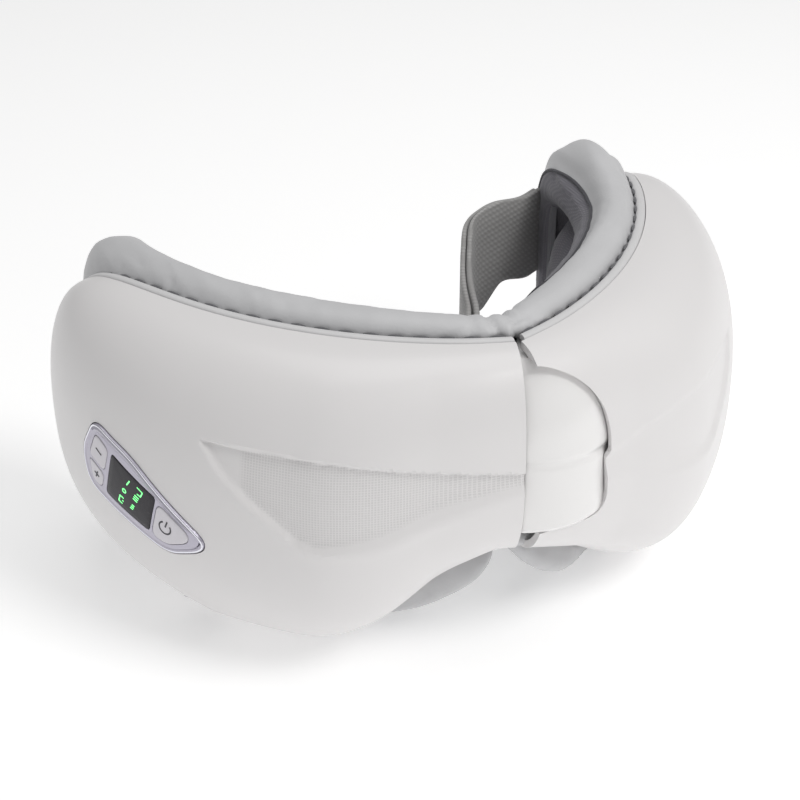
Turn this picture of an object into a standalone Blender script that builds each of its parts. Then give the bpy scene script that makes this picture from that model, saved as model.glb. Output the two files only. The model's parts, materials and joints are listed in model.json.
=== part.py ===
"""Folding eye massager mask: two padded pods on a nose-bridge hinge, with a head strap.

Units are metres, +Z is up, -Y is the front of the mask and +X is the viewer's right.
Each pod is laid out along one arc in plan. A place on a pod is given by s, the distance
along that arc from the bridge, by n, the distance out of the arc towards the front, and
by z. The left pod carries the controls; the right pod folds on the hinge pin.
"""
import math

import bmesh
import bpy
from mathutils import Matrix, Vector
from mathutils.bvhtree import BVHTree

MM = 0.001
LEFT = -1
RIGHT = 1

# Plan arc of a pod, measured along the crest of its padded rim.
ARC_RADIUS = 100.5 * MM
BRIDGE_HEADING = math.radians(19.3)
STRAIGHT_BRIDGE = 15.0 * MM
POD_LENGTH = 107.6 * MM

# Front elevation of a pod.
TOP_HEIGHT = 74.5 * MM
BRIDGE_UNDERSIDE = 25.0 * MM
LOBE_START = -6.5 * MM
LOBE_FULL = 39.8 * MM
RISE_START = 56.9 * MM
OUTER_RISE = 12.6 * MM
RISE_SPAN = 53.0 * MM
CORNER_START = 61.4 * MM
CORNER_POWER = 4.0

# Depth of the shell dome in front of its rim.
SHELL_EDGE = 7.7 * MM
BRIDGE_DEPTH = 14.2 * MM
FULL_DEPTH = 25.2 * MM
FULL_DEPTH_AT = 34.4 * MM
END_ROUNDING_START = 30.6 * MM
END_POWER = 2.25
DOME_POWER = 2.38
SHELL_WALL = 2.0 * MM
FIT_GAP = 0.3 * MM

# Layers behind the shell, as ranges of n.
FRAME_FRONT = 7.4 * MM
FRAME_BACK = 4.9 * MM
FRAME_START = 11.0 * MM
PAD_FRONT = 4.6 * MM
PAD_BACK = -10.5 * MM
PAD_START = 15.0 * MM
PAD_CORNER = 20.0 * MM
PAD_WIDTH = 10.0 * MM
PAD_BULGE = 3.3 * MM

# Fold hinge: the vertical pin, and the barrel cover that turns about its axis.
HINGE_X = 5.6 * MM
HINGE_Y = 1.0 * MM
PIN_RADIUS = 1.5 * MM
PIN_CLEARANCE = 0.08 * MM
KNUCKLE_RADIUS = 3.4 * MM
PIN_LOW = 34.0 * MM
PIN_HIGH = 70.6 * MM
COVER_RADIUS = 21.5 * MM
COVER_WALL = 1.8 * MM
COVER_LOW = 32.6 * MM
COVER_HIGH = 71.8 * MM

# The left shell ends at the bridge in an upright plane, turned a little from the symmetry plane.
SEAM_FRONT_X = -5.1 * MM
SEAM_FRONT_Y = -22.0 * MM
SEAM_SLOPE = 0.287

# Control panel on the left pod.
PANEL_S = 67.0 * MM
PANEL_Z = 36.5 * MM
PANEL_SLOPE = math.radians(25.0)
PANEL_HALF = 19.5 * MM
BUTTON_GAP = 0.25 * MM
BUTTON_PROUD = 0.9 * MM
BUTTON_DEPTH = 2.6 * MM

# Head strap.
STRAP_LOW = 40.0 * MM
STRAP_HIGH = 64.0 * MM
STRAP_THICKNESS = 3.0 * MM

# The mask is centred over the origin and stands on z = 0.
ORIGIN_SHIFT = Vector((0.0, -0.03035, 0.0033))


for old in list(bpy.data.objects):
    bpy.data.objects.remove(old, do_unlink=True)

parts = bpy.data.collections.new("eye_massager_mask")
cutters = bpy.data.collections.new("cutters")
bpy.context.scene.collection.children.link(parts)
bpy.context.scene.collection.children.link(cutters)

origin = bpy.data.objects.new("mask_origin", None)
origin.location = ORIGIN_SHIFT
parts.objects.link(origin)


# ---------------------------------------------------------------- materials

def material(name, color, roughness, metallic=0.0):
    found = bpy.data.materials.get(name)
    if found:
        return found
    made = bpy.data.materials.new(name)
    made.use_nodes = True
    shader = made.node_tree.nodes["Principled BSDF"]
    shader.inputs["Base Color"].default_value = (*color, 1.0)
    shader.inputs["Roughness"].default_value = roughness
    shader.inputs["Metallic"].default_value = metallic
    made.diffuse_color = (*color, 1.0)
    return made


WARM_WHITE = (0.74, 0.73, 0.73)
LEATHER_GREY = (0.50, 0.50, 0.52)
INNER_GREY = (0.12, 0.12, 0.14)
STRAP_GREY = (0.38, 0.37, 0.37)
BEZEL_SILVER = (0.52, 0.50, 0.58)
DARK_WINDOW = (0.03, 0.03, 0.04)
STEEL = (0.55, 0.55, 0.57)
BOARD_GREEN = (0.03, 0.20, 0.09)


# ---------------------------------------------------------------- pod geometry

def smooth(t):
    t = min(max(t, 0.0), 1.0)
    return t * t * (3.0 - 2.0 * t)


def heading(s):
    return BRIDGE_HEADING + s / ARC_RADIUS


def lean(s):
    """Direction of n: square to the symmetry plane at the bridge, then square to the arc."""
    return heading(s) * smooth(s / STRAIGHT_BRIDGE)


def pod_point(side, s, n, z):
    x = ARC_RADIUS * (math.sin(heading(s)) - math.sin(BRIDGE_HEADING)) + n * math.sin(lean(s))
    y = ARC_RADIUS * (math.cos(BRIDGE_HEADING) - math.cos(heading(s))) - n * math.cos(lean(s))
    return Vector((side * x, y, z))


def underside(s):
    drop = smooth((s - LOBE_START) / (LOBE_FULL - LOBE_START))
    rise = max(0.0, s - RISE_START) / RISE_SPAN
    return BRIDGE_UNDERSIDE * (1.0 - drop) + OUTER_RISE * rise


def rounding(s, start, end, power):
    t = min(max((s - start) / (end - start), 0.0), 1.0)
    return (1.0 - t ** power) ** (1.0 / power)


def elevation(s, inset=0.0, length=POD_LENGTH):
    """Middle height and half height of a pod at s, drawn in by inset all round."""
    low = underside(s)
    half = 0.5 * (TOP_HEIGHT - low) - inset
    closing = rounding(s, CORNER_START, length - inset, CORNER_POWER)
    return 0.5 * (TOP_HEIGHT + low), half * closing


def dome_depth(s, inset=0.0):
    depth = BRIDGE_DEPTH + (FULL_DEPTH - BRIDGE_DEPTH) * smooth(s / FULL_DEPTH_AT) - inset
    return depth * rounding(s, END_ROUNDING_START, POD_LENGTH - inset, END_POWER)


def signed_power(value, power):
    return math.copysign(abs(value) ** power, value)


def spaced(start, end, count, crowding=1.0):
    """Values from start to end, closer together near the end as crowding grows."""
    span = end - start
    return [start + span * (1.0 - (1.0 - i / (count - 1)) ** crowding) for i in range(count)]


# ---------------------------------------------------------------- mesh builders

def finish(name, mesh, look, as_cutter=False):
    item = bpy.data.objects.new(name, mesh)
    if as_cutter:
        cutters.objects.link(item)
        item.hide_render = True
        item.display_type = "WIRE"
    else:
        parts.objects.link(item)
        mesh.materials.append(look)
    item.parent = origin
    return item


def mesh_from(name, vertices, faces):
    mesh = bpy.data.meshes.new(name)
    mesh.from_pydata([tuple(v) for v in vertices], [], faces)
    tidy = bmesh.new()
    tidy.from_mesh(mesh)
    bmesh.ops.remove_doubles(tidy, verts=tidy.verts, dist=1e-7)
    bmesh.ops.recalc_face_normals(tidy, faces=tidy.faces)
    tidy.to_mesh(mesh)
    tidy.free()
    return mesh


def loft(name, rings, look=None, closed=False, as_cutter=False):
    """A solid skinned over rings of equal point count; an open loft is capped at both ends."""
    size = len(rings[0])
    vertices = [point for ring in rings for point in ring]
    faces = []
    last = len(rings) if closed else len(rings) - 1
    for i in range(last):
        a = i * size
        b = ((i + 1) % len(rings)) * size
        for j in range(size):
            k = (j + 1) % size
            faces.append((a + j, a + k, b + k, b + j))
    if not closed:
        faces.append(tuple(range(size)))
        faces.append(tuple(range(len(vertices) - size, len(vertices))))
    return finish(name, mesh_from(name, vertices, faces), look, as_cutter)


def prism(name, outline, low, high, look=None, as_cutter=False):
    """An upright prism over a plan outline of (x, y) pairs."""
    rings = [[Vector((x, y, z)) for x, y in outline] for z in (low, high)]
    return loft(name, rings, look, False, as_cutter)


def circle(radius, steps, x=0.0, y=0.0):
    turn = 2.0 * math.pi / steps
    return [(x + radius * math.cos(turn * i), y + radius * math.sin(turn * i)) for i in range(steps)]


def boolean(target, cutter, operation="DIFFERENCE"):
    change = target.modifiers.new(cutter.name, "BOOLEAN")
    change.operation = operation
    change.solver = "EXACT"
    change.object = cutter


def drum(name, side, s, z, profile, look=None, steps=20, as_cutter=False):
    """A turned piece whose axis is n at (s, z); profile lists (n, radius) along the axis."""
    base = pod_point(side, s, 0.0, z)
    out = (pod_point(side, s, 1.0, z) - base).normalized()
    across = out.cross(Vector((0.0, 0.0, 1.0))).normalized()
    rings = []
    for n, radius in profile:
        middle = base + out * n
        rings.append([middle + across * x + Vector((0.0, 0.0, y)) for x, y in circle(radius, steps)])
    return loft(name, rings, look, False, as_cutter)


def block(name, side, s, n, z, size, look=None, as_cutter=False):
    """A box centred at (s, n, z); size is its length along s, along n and up."""
    middle = pod_point(side, s, n, z)
    out = (pod_point(side, s, 1.0, z) - pod_point(side, s, 0.0, z)).normalized()
    along = out.cross(Vector((0.0, 0.0, 1.0))).normalized()
    half_s = along * (0.5 * size[0])
    half_n = out * (0.5 * size[1])
    rings = []
    for z_end in (-0.5 * size[2], 0.5 * size[2]):
        lift = Vector((0.0, 0.0, z_end))
        rings.append([middle + lift + half_s * a + half_n * b
                      for a, b in ((-1, -1), (1, -1), (1, 1), (-1, 1))])
    return loft(name, rings, look, False, as_cutter)


# ---------------------------------------------------------------- outer shells

def dome_rings(side, inset, s_values, steps, behind):
    rings = []
    for s in s_values:
        middle, half = elevation(s, inset)
        depth = dome_depth(s, inset)
        ring = [pod_point(side, s, SHELL_EDGE - behind, middle - half)]
        for j in range(steps):
            angle = math.pi * (j / (steps - 1) - 0.5)
            n = SHELL_EDGE + depth * abs(math.cos(angle)) ** (2.0 / DOME_POWER)
            z = middle + half * signed_power(math.sin(angle), 2.0 / DOME_POWER)
            ring.append(pod_point(side, s, n, z))
        ring.append(pod_point(side, s, SHELL_EDGE - behind, middle + half))
        rings.append(ring)
    return rings


def outer_shell(name, side):
    look = material("shell_white", WARM_WHITE, 0.42)
    end = POD_LENGTH - 0.05 * MM
    solid = loft(name, dome_rings(side, 0.0, spaced(0.0, end, 24, 1.5), 19, 0.0), look)
    inner_end = POD_LENGTH - SHELL_WALL - 0.1 * MM
    inner_s = spaced(-1.0 * MM, inner_end, 19, 1.5)
    hollow = loft(name + "_hollow", dome_rings(side, SHELL_WALL, inner_s, 15, 2.0 * MM),
                  as_cutter=True)
    boolean(solid, hollow)
    return solid


def dome_surface(side):
    """Ray target for pieces let into the dome."""
    rings = dome_rings(side, 0.0, spaced(0.0, POD_LENGTH - 0.05 * MM, 60, 1.5), 49, 0.0)
    vertices = [point for ring in rings for point in ring]
    size = len(rings[0])
    faces = []
    for i in range(len(rings) - 1):
        for j in range(1, size - 2):
            a = i * size + j
            faces.append((a, a + 1, a + size + 1, a + size))
    return BVHTree.FromPolygons(vertices, faces)


left_shell = outer_shell("left_outer_shell", LEFT)
right_shell = outer_shell("right_outer_shell", RIGHT)



def seam_x(y):
    return SEAM_FRONT_X + SEAM_SLOPE * (y - SEAM_FRONT_Y)


seam_trim = prism("left_seam_trim", [(seam_x(-0.05), -0.05), (0.012, -0.05), (0.012, 0.02), (seam_x(0.02), 0.02)],
                  -0.01, 0.09, as_cutter=True)
boolean(left_shell, seam_trim)

# The right shell's upper corner stands clear of the left shell when the mask opens fully.
corner_trim = prism("right_corner_trim", [(-0.01, -0.04), (1.1 * MM, -0.04), (1.1 * MM, 0.02), (-0.01, 0.02)],
                    0.069, 0.09, as_cutter=True)
boolean(right_shell, corner_trim)


# ---------------------------------------------------------------- padded face side

def face_outline(start, inset, count, corner):
    """Closed run of (s, z, inward s, inward z) round a pod's face side, drawn in by inset.

    corner is the reach of the rounding where the outline turns at its bridge end.
    """
    samples = [start + corner * (i / 20.0) ** 2 for i in range(20)]
    samples += spaced(start + corner, POD_LENGTH, 50, 1.8)
    raw = []
    upper = []
    for s in samples:
        middle, half = elevation(s)
        half *= rounding(start + corner - s, 0.0, corner, 2.6)
        raw.append((s, middle - half))
        upper.append((s, middle + half))
    raw += list(reversed(upper[1:-1]))
    lengths = [0.0]
    for i in range(len(raw)):
        lengths.append(lengths[-1] + math.dist(raw[i], raw[(i + 1) % len(raw)]))
    even = []
    k = 0
    for i in range(count):
        goal = lengths[-1] * i / count
        while lengths[k + 1] < goal:
            k += 1
        part = (goal - lengths[k]) / max(lengths[k + 1] - lengths[k], 1e-9)
        a = raw[k]
        b = raw[(k + 1) % len(raw)]
        even.append((a[0] + (b[0] - a[0]) * part, a[1] + (b[1] - a[1]) * part))
    path = []
    for i in range(count):
        a = even[i - 1]
        b = even[(i + 1) % count]
        size = max(math.dist(a, b), 1e-9)
        inward = (-(b[1] - a[1]) / size, (b[0] - a[0]) / size)
        s, z = even[i]
        path.append((s + inward[0] * inset, z + inward[1] * inset, inward[0], inward[1]))
    return path


def pad_ring(name, side):
    """Leather-covered foam round the rim; its section is listed as (inward, n)."""
    look = material("rim_leather", LEATHER_GREY, 0.6)
    bulge = PAD_BULGE
    width = PAD_WIDTH
    section = [(-0.2 * MM, PAD_FRONT), (-0.8 * bulge, PAD_FRONT - 2.0 * MM), (-bulge, 0.0),
               (-0.9 * bulge, -5.0 * MM), (-0.3 * bulge, -9.0 * MM), (0.3 * width, PAD_BACK),
               (0.8 * width, -9.5 * MM), (width, -6.0 * MM), (width, 0.0), (0.94 * width, PAD_FRONT)]
    rings = []
    for s, z, inward_s, inward_z in face_outline(PAD_START, 0.0, 56, PAD_CORNER):
        rings.append([pod_point(side, s + w * inward_s, n, z + w * inward_z) for w, n in section])
    return loft(name, rings, look, closed=True)


def face_plate(name, side, start, corner, inset, front, back, crown, look, count=28):
    """A plate that follows the pod's face side; the back is raised by crown at its middle."""
    edge = face_outline(start, inset, count, corner)
    middle_s = sum(p[0] for p in edge) / count
    middle_z = sum(p[1] for p in edge) / count
    shares = (0.2, 0.4, 0.6, 0.8, 1.0)
    vertices = []
    faces = []
    for level, height in ((front, 0.0), (back, crown)):
        base = len(vertices)
        vertices.append(pod_point(side, middle_s, level - height, middle_z))
        for share in shares:
            n = level - height * (1.0 - share ** 3)
            for s, z, _, _ in edge:
                vertices.append(pod_point(side, middle_s + (s - middle_s) * share, n,
                                          middle_z + (z - middle_z) * share))
        for j in range(count):
            k = (j + 1) % count
            faces.append((base, base + 1 + j, base + 1 + k))
            for row in range(len(shares) - 1):
                a = base + 1 + row * count
                faces.append((a + j, a + count + j, a + count + k, a + k))
    layer = 1 + count * len(shares)
    rim = 1 + count * (len(shares) - 1)
    for j in range(count):
        k = (j + 1) % count
        faces.append((rim + j, rim + k, layer + rim + k, layer + rim + j))
    return finish(name, mesh_from(name, vertices, faces), look)


frame_look = material("frame_plastic", (0.30, 0.30, 0.32), 0.55)
cushion_look = material("cushion_fabric", INNER_GREY, 0.8)
airbag_look = material("airbag_film", (0.16, 0.17, 0.19), 0.5)
film_look = material("heating_film", (0.45, 0.22, 0.06), 0.45)
frames = {}
for side, word in ((LEFT, "left"), (RIGHT, "right")):
    frames[side] = face_plate(word + "_inner_frame", side, FRAME_START, 5.0 * MM, 0.6 * MM,
                              FRAME_FRONT, FRAME_BACK, 0.0, frame_look, 40)
    pad_ring(word + "_rim_pad", side)
    face_plate(word + "_airbag", side, PAD_START, PAD_CORNER, 11.2 * MM, PAD_FRONT, 1.7 * MM, 0.0,
               airbag_look)
    face_plate(word + "_heating_film", side, PAD_START, PAD_CORNER, 11.2 * MM, 1.4 * MM, 0.8 * MM, 0.0,
               film_look)
    face_plate(word + "_eye_cushion", side, PAD_START, PAD_CORNER, 10.9 * MM, 0.5 * MM, -3.0 * MM,
               3.5 * MM, cushion_look)


# ---------------------------------------------------------------- fold hinge

steel_look = material("hinge_steel", STEEL, 0.3, 1.0)


def tube(name, outer, inner, low, high, look=None, steps=24, as_cutter=False):
    """An upright tube round the hinge axis."""
    rings = []
    for radius, z in ((inner, low), (outer, low), (outer, high), (inner, high)):
        rings.append([Vector((x, y, z)) for x, y in circle(radius, steps, HINGE_X, HINGE_Y)])
    return loft(name, rings, look, closed=True, as_cutter=as_cutter)


def bar(name, start, end, width, low, high):
    """An upright slab between two plan points, used to build up a hinge leaf."""
    a = Vector(start)
    b = Vector(end)
    half = (b - a).normalized().orthogonal() * (0.5 * width)
    corners = [a - half, b - half, b + half, a + half]
    return prism(name, [(c.x, c.y) for c in corners], low, high, as_cutter=True)


def leaf_plate(name, side):
    rings = []
    for s in spaced(15.0 * MM, 28.0 * MM, 6):
        rings.append([pod_point(side, s, n, z)
                      for n, z in ((7.7 * MM, 36.0 * MM), (9.7 * MM, 36.0 * MM),
                                   (9.7 * MM, 68.0 * MM), (7.7 * MM, 68.0 * MM))])
    return loft(name, rings, steel_look)


def hinge_leaf(name, side, corner, knuckle_end, spans):
    """A plate on the pod's frame, an elbowed arm and a knuckle for each (low, high) span."""
    leaf = leaf_plate(name, side)
    root = pod_point(side, 17.0 * MM, 10.4 * MM, 0.0)
    for i, (low, high) in enumerate(spans):
        label = "%s_%d" % (name, i + 1)
        arm_a = bar(label + "_arm", (root.x, root.y), corner, 2.6 * MM, low, high)
        arm_b = bar(label + "_elbow", corner, knuckle_end, 2.6 * MM, low + 0.05 * MM, high - 0.05 * MM)
        knuckle = tube(label + "_knuckle", KNUCKLE_RADIUS, PIN_RADIUS + PIN_CLEARANCE, low, high,
                       as_cutter=True)
        for piece in (arm_a, arm_b, knuckle):
            boolean(leaf, piece, "UNION")
    return leaf


left_leaf = hinge_leaf("left_hinge_leaf", LEFT, (2.0 * MM, -9.5 * MM), (5.0 * MM, -1.6 * MM),
                       ((34.8 * MM, 45.0 * MM), (59.0 * MM, 69.6 * MM)))
right_leaf = hinge_leaf("right_hinge_leaf", RIGHT, (9.5 * MM, -8.0 * MM), (6.6 * MM, -1.5 * MM),
                        ((45.4 * MM, 58.6 * MM),))

pin = prism("hinge_pin", circle(PIN_RADIUS, 24), PIN_LOW, PIN_HIGH, steel_look)
pin.location = (HINGE_X, HINGE_Y, 0.0)


def barrel_profile(grow):
    """Outside of the hinge barrel as (radius, z), from its top to its foot."""
    top = COVER_HIGH + grow * 0.6
    foot = COVER_LOW - grow * 0.6
    straight = COVER_RADIUS + grow
    return [(straight - 7.4 * MM, top), (straight - 6.2 * MM, 70.2 * MM), (straight - 4.6 * MM, 67.0 * MM),
            (straight - 2.4 * MM, 62.8 * MM), (straight - 0.9 * MM, 58.4 * MM), (straight, 53.0 * MM),
            (straight, 34.2 * MM), (straight - 0.8 * MM, foot)]


def sweep(name, profile, start_deg, end_deg, steps, look=None, as_cutter=False):
    """Part of a turn of a closed (radius, z) profile about the hinge axis."""
    rings = []
    for i in range(steps):
        angle = math.radians(start_deg + (end_deg - start_deg) * i / (steps - 1))
        rings.append([Vector((HINGE_X + r * math.cos(angle), HINGE_Y + r * math.sin(angle), z))
                      for r, z in profile])
    return loft(name, rings, look, False, as_cutter)


def hinge_cover():
    outside = barrel_profile(0.0)
    inside = [(r - COVER_WALL, z) for r, z in outside[1:-1]]
    inside[-1] = (inside[-1][0], COVER_LOW)
    inside.insert(0, (outside[0][0] - COVER_WALL, COVER_HIGH))
    cover = sweep("hinge_cover", outside + list(reversed(inside)), -150.0, -17.0, 26,
                  material("cover_gloss", WARM_WHITE, 0.22))
    for word, low, high, reach in (("top", COVER_HIGH - 1.6 * MM, COVER_HIGH, 14.6 * MM),
                                   ("foot", COVER_LOW, COVER_LOW + 1.6 * MM, 21.0 * MM)):
        plate = [(2.1 * MM, high), (reach, high), (reach, low), (2.1 * MM, low)]
        boolean(cover, sweep("cover_" + word + "_plate", plate, -149.0, -58.0, 17, as_cutter=True), "UNION")
    trim = prism("cover_seam_trim", [(-0.04, -0.05), (seam_x(-0.05) + 1.2 * FIT_GAP, -0.05),
                                     (seam_x(0.02) + 1.2 * FIT_GAP, 0.02), (-0.04, 0.02)],
                 0.0, 0.1, as_cutter=True)
    boolean(cover, trim)
    return cover


hinge_cover()
barrel_room = [(0.0005, COVER_HIGH + 0.36 * MM)] + barrel_profile(0.6 * MM)
barrel_room += [(0.0005, COVER_LOW - 0.36 * MM)]
boolean(right_shell, sweep("barrel_room", barrel_room, -175.0, 40.0, 44, as_cutter=True))

# The right shell's edge round the barrel is a D seen from the front.
d_width = 17.2 * MM
d_edge = [(-3.0 * MM, COVER_LOW - 0.4 * MM), (d_width - 2.6 * MM, COVER_LOW - 0.4 * MM),
          (d_width - 0.6 * MM, COVER_LOW + 0.6 * MM), (d_width, COVER_LOW + 3.0 * MM),
          (d_width, 48.0 * MM), (d_width - 0.5 * MM, 54.5 * MM), (d_width - 1.8 * MM, 60.0 * MM),
          (d_width - 4.6 * MM, 64.6 * MM), (d_width - 8.4 * MM, 68.2 * MM),
          (d_width - 13.0 * MM, 70.8 * MM), (-3.0 * MM, COVER_HIGH + 0.4 * MM)]
d_rings = [[Vector((x, y, z)) for x, z in d_edge] for y in (-0.040, 0.006)]
boolean(right_shell, loft("barrel_edge", d_rings, as_cutter=True))

# Screws that hold the leaves to the frames.
for side, word in ((LEFT, "left"), (RIGHT, "right")):
    for level, z in (("lower", 41.0 * MM), ("upper", 63.0 * MM)):
        hole = drum("%s_%s_screw_hole" % (word, level), side, 24.0 * MM, z,
                    [(2.0 * MM, 1.15 * MM), (9.8 * MM, 1.15 * MM)], steps=16, as_cutter=True)
        boolean(frames[side], hole)
        boolean(left_leaf if side == LEFT else right_leaf, hole)
        drum("%s_hinge_screw_%s" % (word, level), side, 24.0 * MM, z,
             [(5.2 * MM, 1.0 * MM), (9.95 * MM, 1.0 * MM), (9.95 * MM, 2.0 * MM),
              (10.7 * MM, 2.0 * MM), (11.1 * MM, 1.4 * MM)], steel_look, 16)


# ---------------------------------------------------------------- control panel

left_dome = dome_surface(LEFT)


def panel_axes():
    """Middle of the panel on the dome, and its long, upward and outward directions."""
    aim = pod_point(LEFT, PANEL_S, 0.0, PANEL_Z)
    outward = (pod_point(LEFT, PANEL_S, 1.0, PANEL_Z) - aim).normalized()
    spot, normal, _, _ = left_dome.ray_cast(aim + outward * 0.06, -outward)
    if normal.dot(outward) < 0.0:
        normal = -normal
    level = Vector((0.0, 0.0, 1.0)).cross(normal).normalized()
    climb = normal.cross(level).normalized()
    along = (level * math.cos(PANEL_SLOPE) - climb * math.sin(PANEL_SLOPE)).normalized()
    return spot, along, normal.cross(along).normalized(), normal


panel_spot, panel_along, panel_up, panel_out = panel_axes()
panel_matrix = Matrix((panel_along, panel_up, panel_out)).transposed().to_4x4()
panel_matrix.translation = panel_spot


def dome_height(x, y):
    """Height of the dome over the panel's own plane at (x, y)."""
    start = panel_matrix @ Vector((x, y, 0.03))
    hit = left_dome.ray_cast(start, -panel_out)[0]
    return (hit - panel_spot).dot(panel_out)


def rounded(corners, radius, steps=5):
    """A closed outline with each corner of a polygon turned to a smooth bend."""
    outline = []
    for i, corner in enumerate(corners):
        here = Vector(corner)
        before = Vector(corners[i - 1]) - here
        after = Vector(corners[(i + 1) % len(corners)]) - here
        reach_a = min(radius, 0.48 * before.length)
        reach_b = min(radius, 0.48 * after.length)
        a = here + before.normalized() * reach_a
        b = here + after.normalized() * reach_b
        for k in range(steps):
            t = k / (steps - 1)
            point = a * (1.0 - t) ** 2 + here * (2.0 * t * (1.0 - t)) + b * t ** 2
            outline.append((point.x, point.y))
    return outline


def grown(outline, amount):
    """An outline moved outward by amount; outlines run anticlockwise."""
    result = []
    for i, point in enumerate(outline):
        a = Vector(outline[i - 1])
        b = Vector(outline[(i + 1) % len(outline)])
        run = (b - a).normalized()
        result.append((point[0] + run.y * amount, point[1] - run.x * amount))
    return result


def scaled(outline, share):
    """An outline drawn towards its middle."""
    middle_x = sum(p[0] for p in outline) / len(outline)
    middle_y = sum(p[1] for p in outline) / len(outline)
    return [(middle_x + (x - middle_x) * share, middle_y + (y - middle_y) * share) for x, y in outline]


def let_in(name, outline, low, high, look=None, as_cutter=False):
    """A piece let into the dome: its faces follow the dome, low and high from its surface."""
    count = len(outline)
    middle_x = sum(p[0] for p in outline) / count
    middle_y = sum(p[1] for p in outline) / count
    middle_z = dome_height(middle_x, middle_y)
    shares = (0.5, 1.0)
    vertices = []
    for level in (low, high):
        vertices.append((0.0, 0.0, level))
        for share in shares:
            for px, py in outline:
                x = (px - middle_x) * share
                y = (py - middle_y) * share
                height = dome_height(middle_x + x, middle_y + y) - middle_z
                vertices.append((x, y, height + level))
    layer = 1 + count * len(shares)
    faces = []
    for j in range(count):
        k = (j + 1) % count
        for base in (0, layer):
            faces.append((base, base + 1 + j, base + 1 + k))
            faces.append((base + 1 + j, base + 1 + count + j, base + 1 + count + k, base + 1 + k))
        edge = 1 + count
        faces.append((edge + j, edge + k, layer + edge + k, layer + edge + j))
    item = finish(name, mesh_from(name, vertices, faces), look, as_cutter)
    item.matrix_local = panel_matrix @ Matrix.Translation((middle_x, middle_y, middle_z))
    return item


panel_outline = rounded([(-14.5 * MM, -9.8 * MM), (12.2 * MM, -6.8 * MM), (PANEL_HALF, 1.0 * MM),
                         (PANEL_HALF - 0.6 * MM, 4.6 * MM), (-5.0 * MM, 9.6 * MM),
                         (-18.4 * MM, 8.2 * MM), (-19.4 * MM, -3.0 * MM)], 3.6 * MM)
window_outline = rounded([(-7.3 * MM, -6.5 * MM), (5.9 * MM, -5.0 * MM), (4.7 * MM, 4.9 * MM),
                          (-9.2 * MM, 4.9 * MM)], 0.8 * MM)
minus_outline = rounded([(-15.8 * MM, -1.9 * MM), (-9.8 * MM, -1.9 * MM), (-10.8 * MM, 4.6 * MM),
                         (-15.6 * MM, 4.8 * MM)], 1.6 * MM)
plus_outline = rounded([(-12.8 * MM, -7.2 * MM), (-9.0 * MM, -6.8 * MM), (-9.6 * MM, -2.9 * MM),
                        (-15.6 * MM, -2.9 * MM)], 1.6 * MM)
power_outline = rounded([(7.3 * MM, -5.2 * MM), (11.4 * MM, -4.7 * MM), (16.2 * MM, 0.6 * MM),
                         (15.6 * MM, 3.2 * MM), (6.3 * MM, 4.5 * MM)], 2.2 * MM)

bezel = let_in("control_bezel", panel_outline, -0.95 * MM, 0.6 * MM,
               material("bezel_silver", BEZEL_SILVER, 0.25, 0.9))
seat = let_in("bezel_seat", grown(panel_outline, FIT_GAP), -1.25 * MM, 6.0 * MM, as_cutter=True)
well = let_in("panel_well", scaled(panel_outline, 0.91), -6.0 * MM, 5.0 * MM, as_cutter=True)
boolean(left_shell, seat)
boolean(left_shell, well)

let_in("display_window", window_outline, -0.8 * MM, 0.35 * MM,
       material("window_dark", DARK_WINDOW, 0.08))
button_look = material("button_silver", (0.46, 0.44, 0.52), 0.35, 0.4)
for word, outline in (("display_window", window_outline), ("minus_button", minus_outline),
                      ("plus_button", plus_outline), ("power_button", power_outline)):
    room = let_in(word + "_room", grown(outline, BUTTON_GAP), -4.0 * MM, 4.0 * MM, as_cutter=True)
    boolean(bezel, room)
    if word != "display_window":
        let_in(word, outline, -BUTTON_DEPTH, BUTTON_PROUD, button_look)


def panel_block(name, x, y, z, size, look):
    """A box in the panel's own frame."""
    rings = []
    for level in (z - 0.5 * size[2], z + 0.5 * size[2]):
        rings.append([Vector((x + a * 0.5 * size[0], y + b * 0.5 * size[1], level))
                      for a, b in ((-1, -1), (1, -1), (1, 1), (-1, 1))])
    item = loft(name, rings, look)
    item.matrix_local = panel_matrix
    return item


board_look = material("board_green", BOARD_GREEN, 0.5)
panel_block("control_board", -1.0 * MM, 0.0, -5.8 * MM, (31.0 * MM, 12.0 * MM, 1.2 * MM), board_look)


# ---------------------------------------------------------------- works inside the pods

def curved_board(name, side, s_range, n_range, z_range, look):
    rings = []
    for s in spaced(s_range[0], s_range[1], 7):
        rings.append([pod_point(side, s, n, z)
                      for n, z in ((n_range[0], z_range[0]), (n_range[1], z_range[0]),
                                   (n_range[1], z_range[1]), (n_range[0], z_range[1]))])
    return loft(name, rings, look)


def upright_can(name, side, s, n, low, high, radius, look, steps=24):
    middle = pod_point(side, s, n, 0.0)
    item = prism(name, circle(radius, steps), low, high, look)
    item.location = (middle.x, middle.y, 0.0)
    return item


MOTOR_S = 93.0 * MM
MOTOR_N = 14.2 * MM
MOTOR_LOW = 38.0 * MM
MOTOR_HIGH = 51.0 * MM
SHAFT_RADIUS = 1.0 * MM


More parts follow.
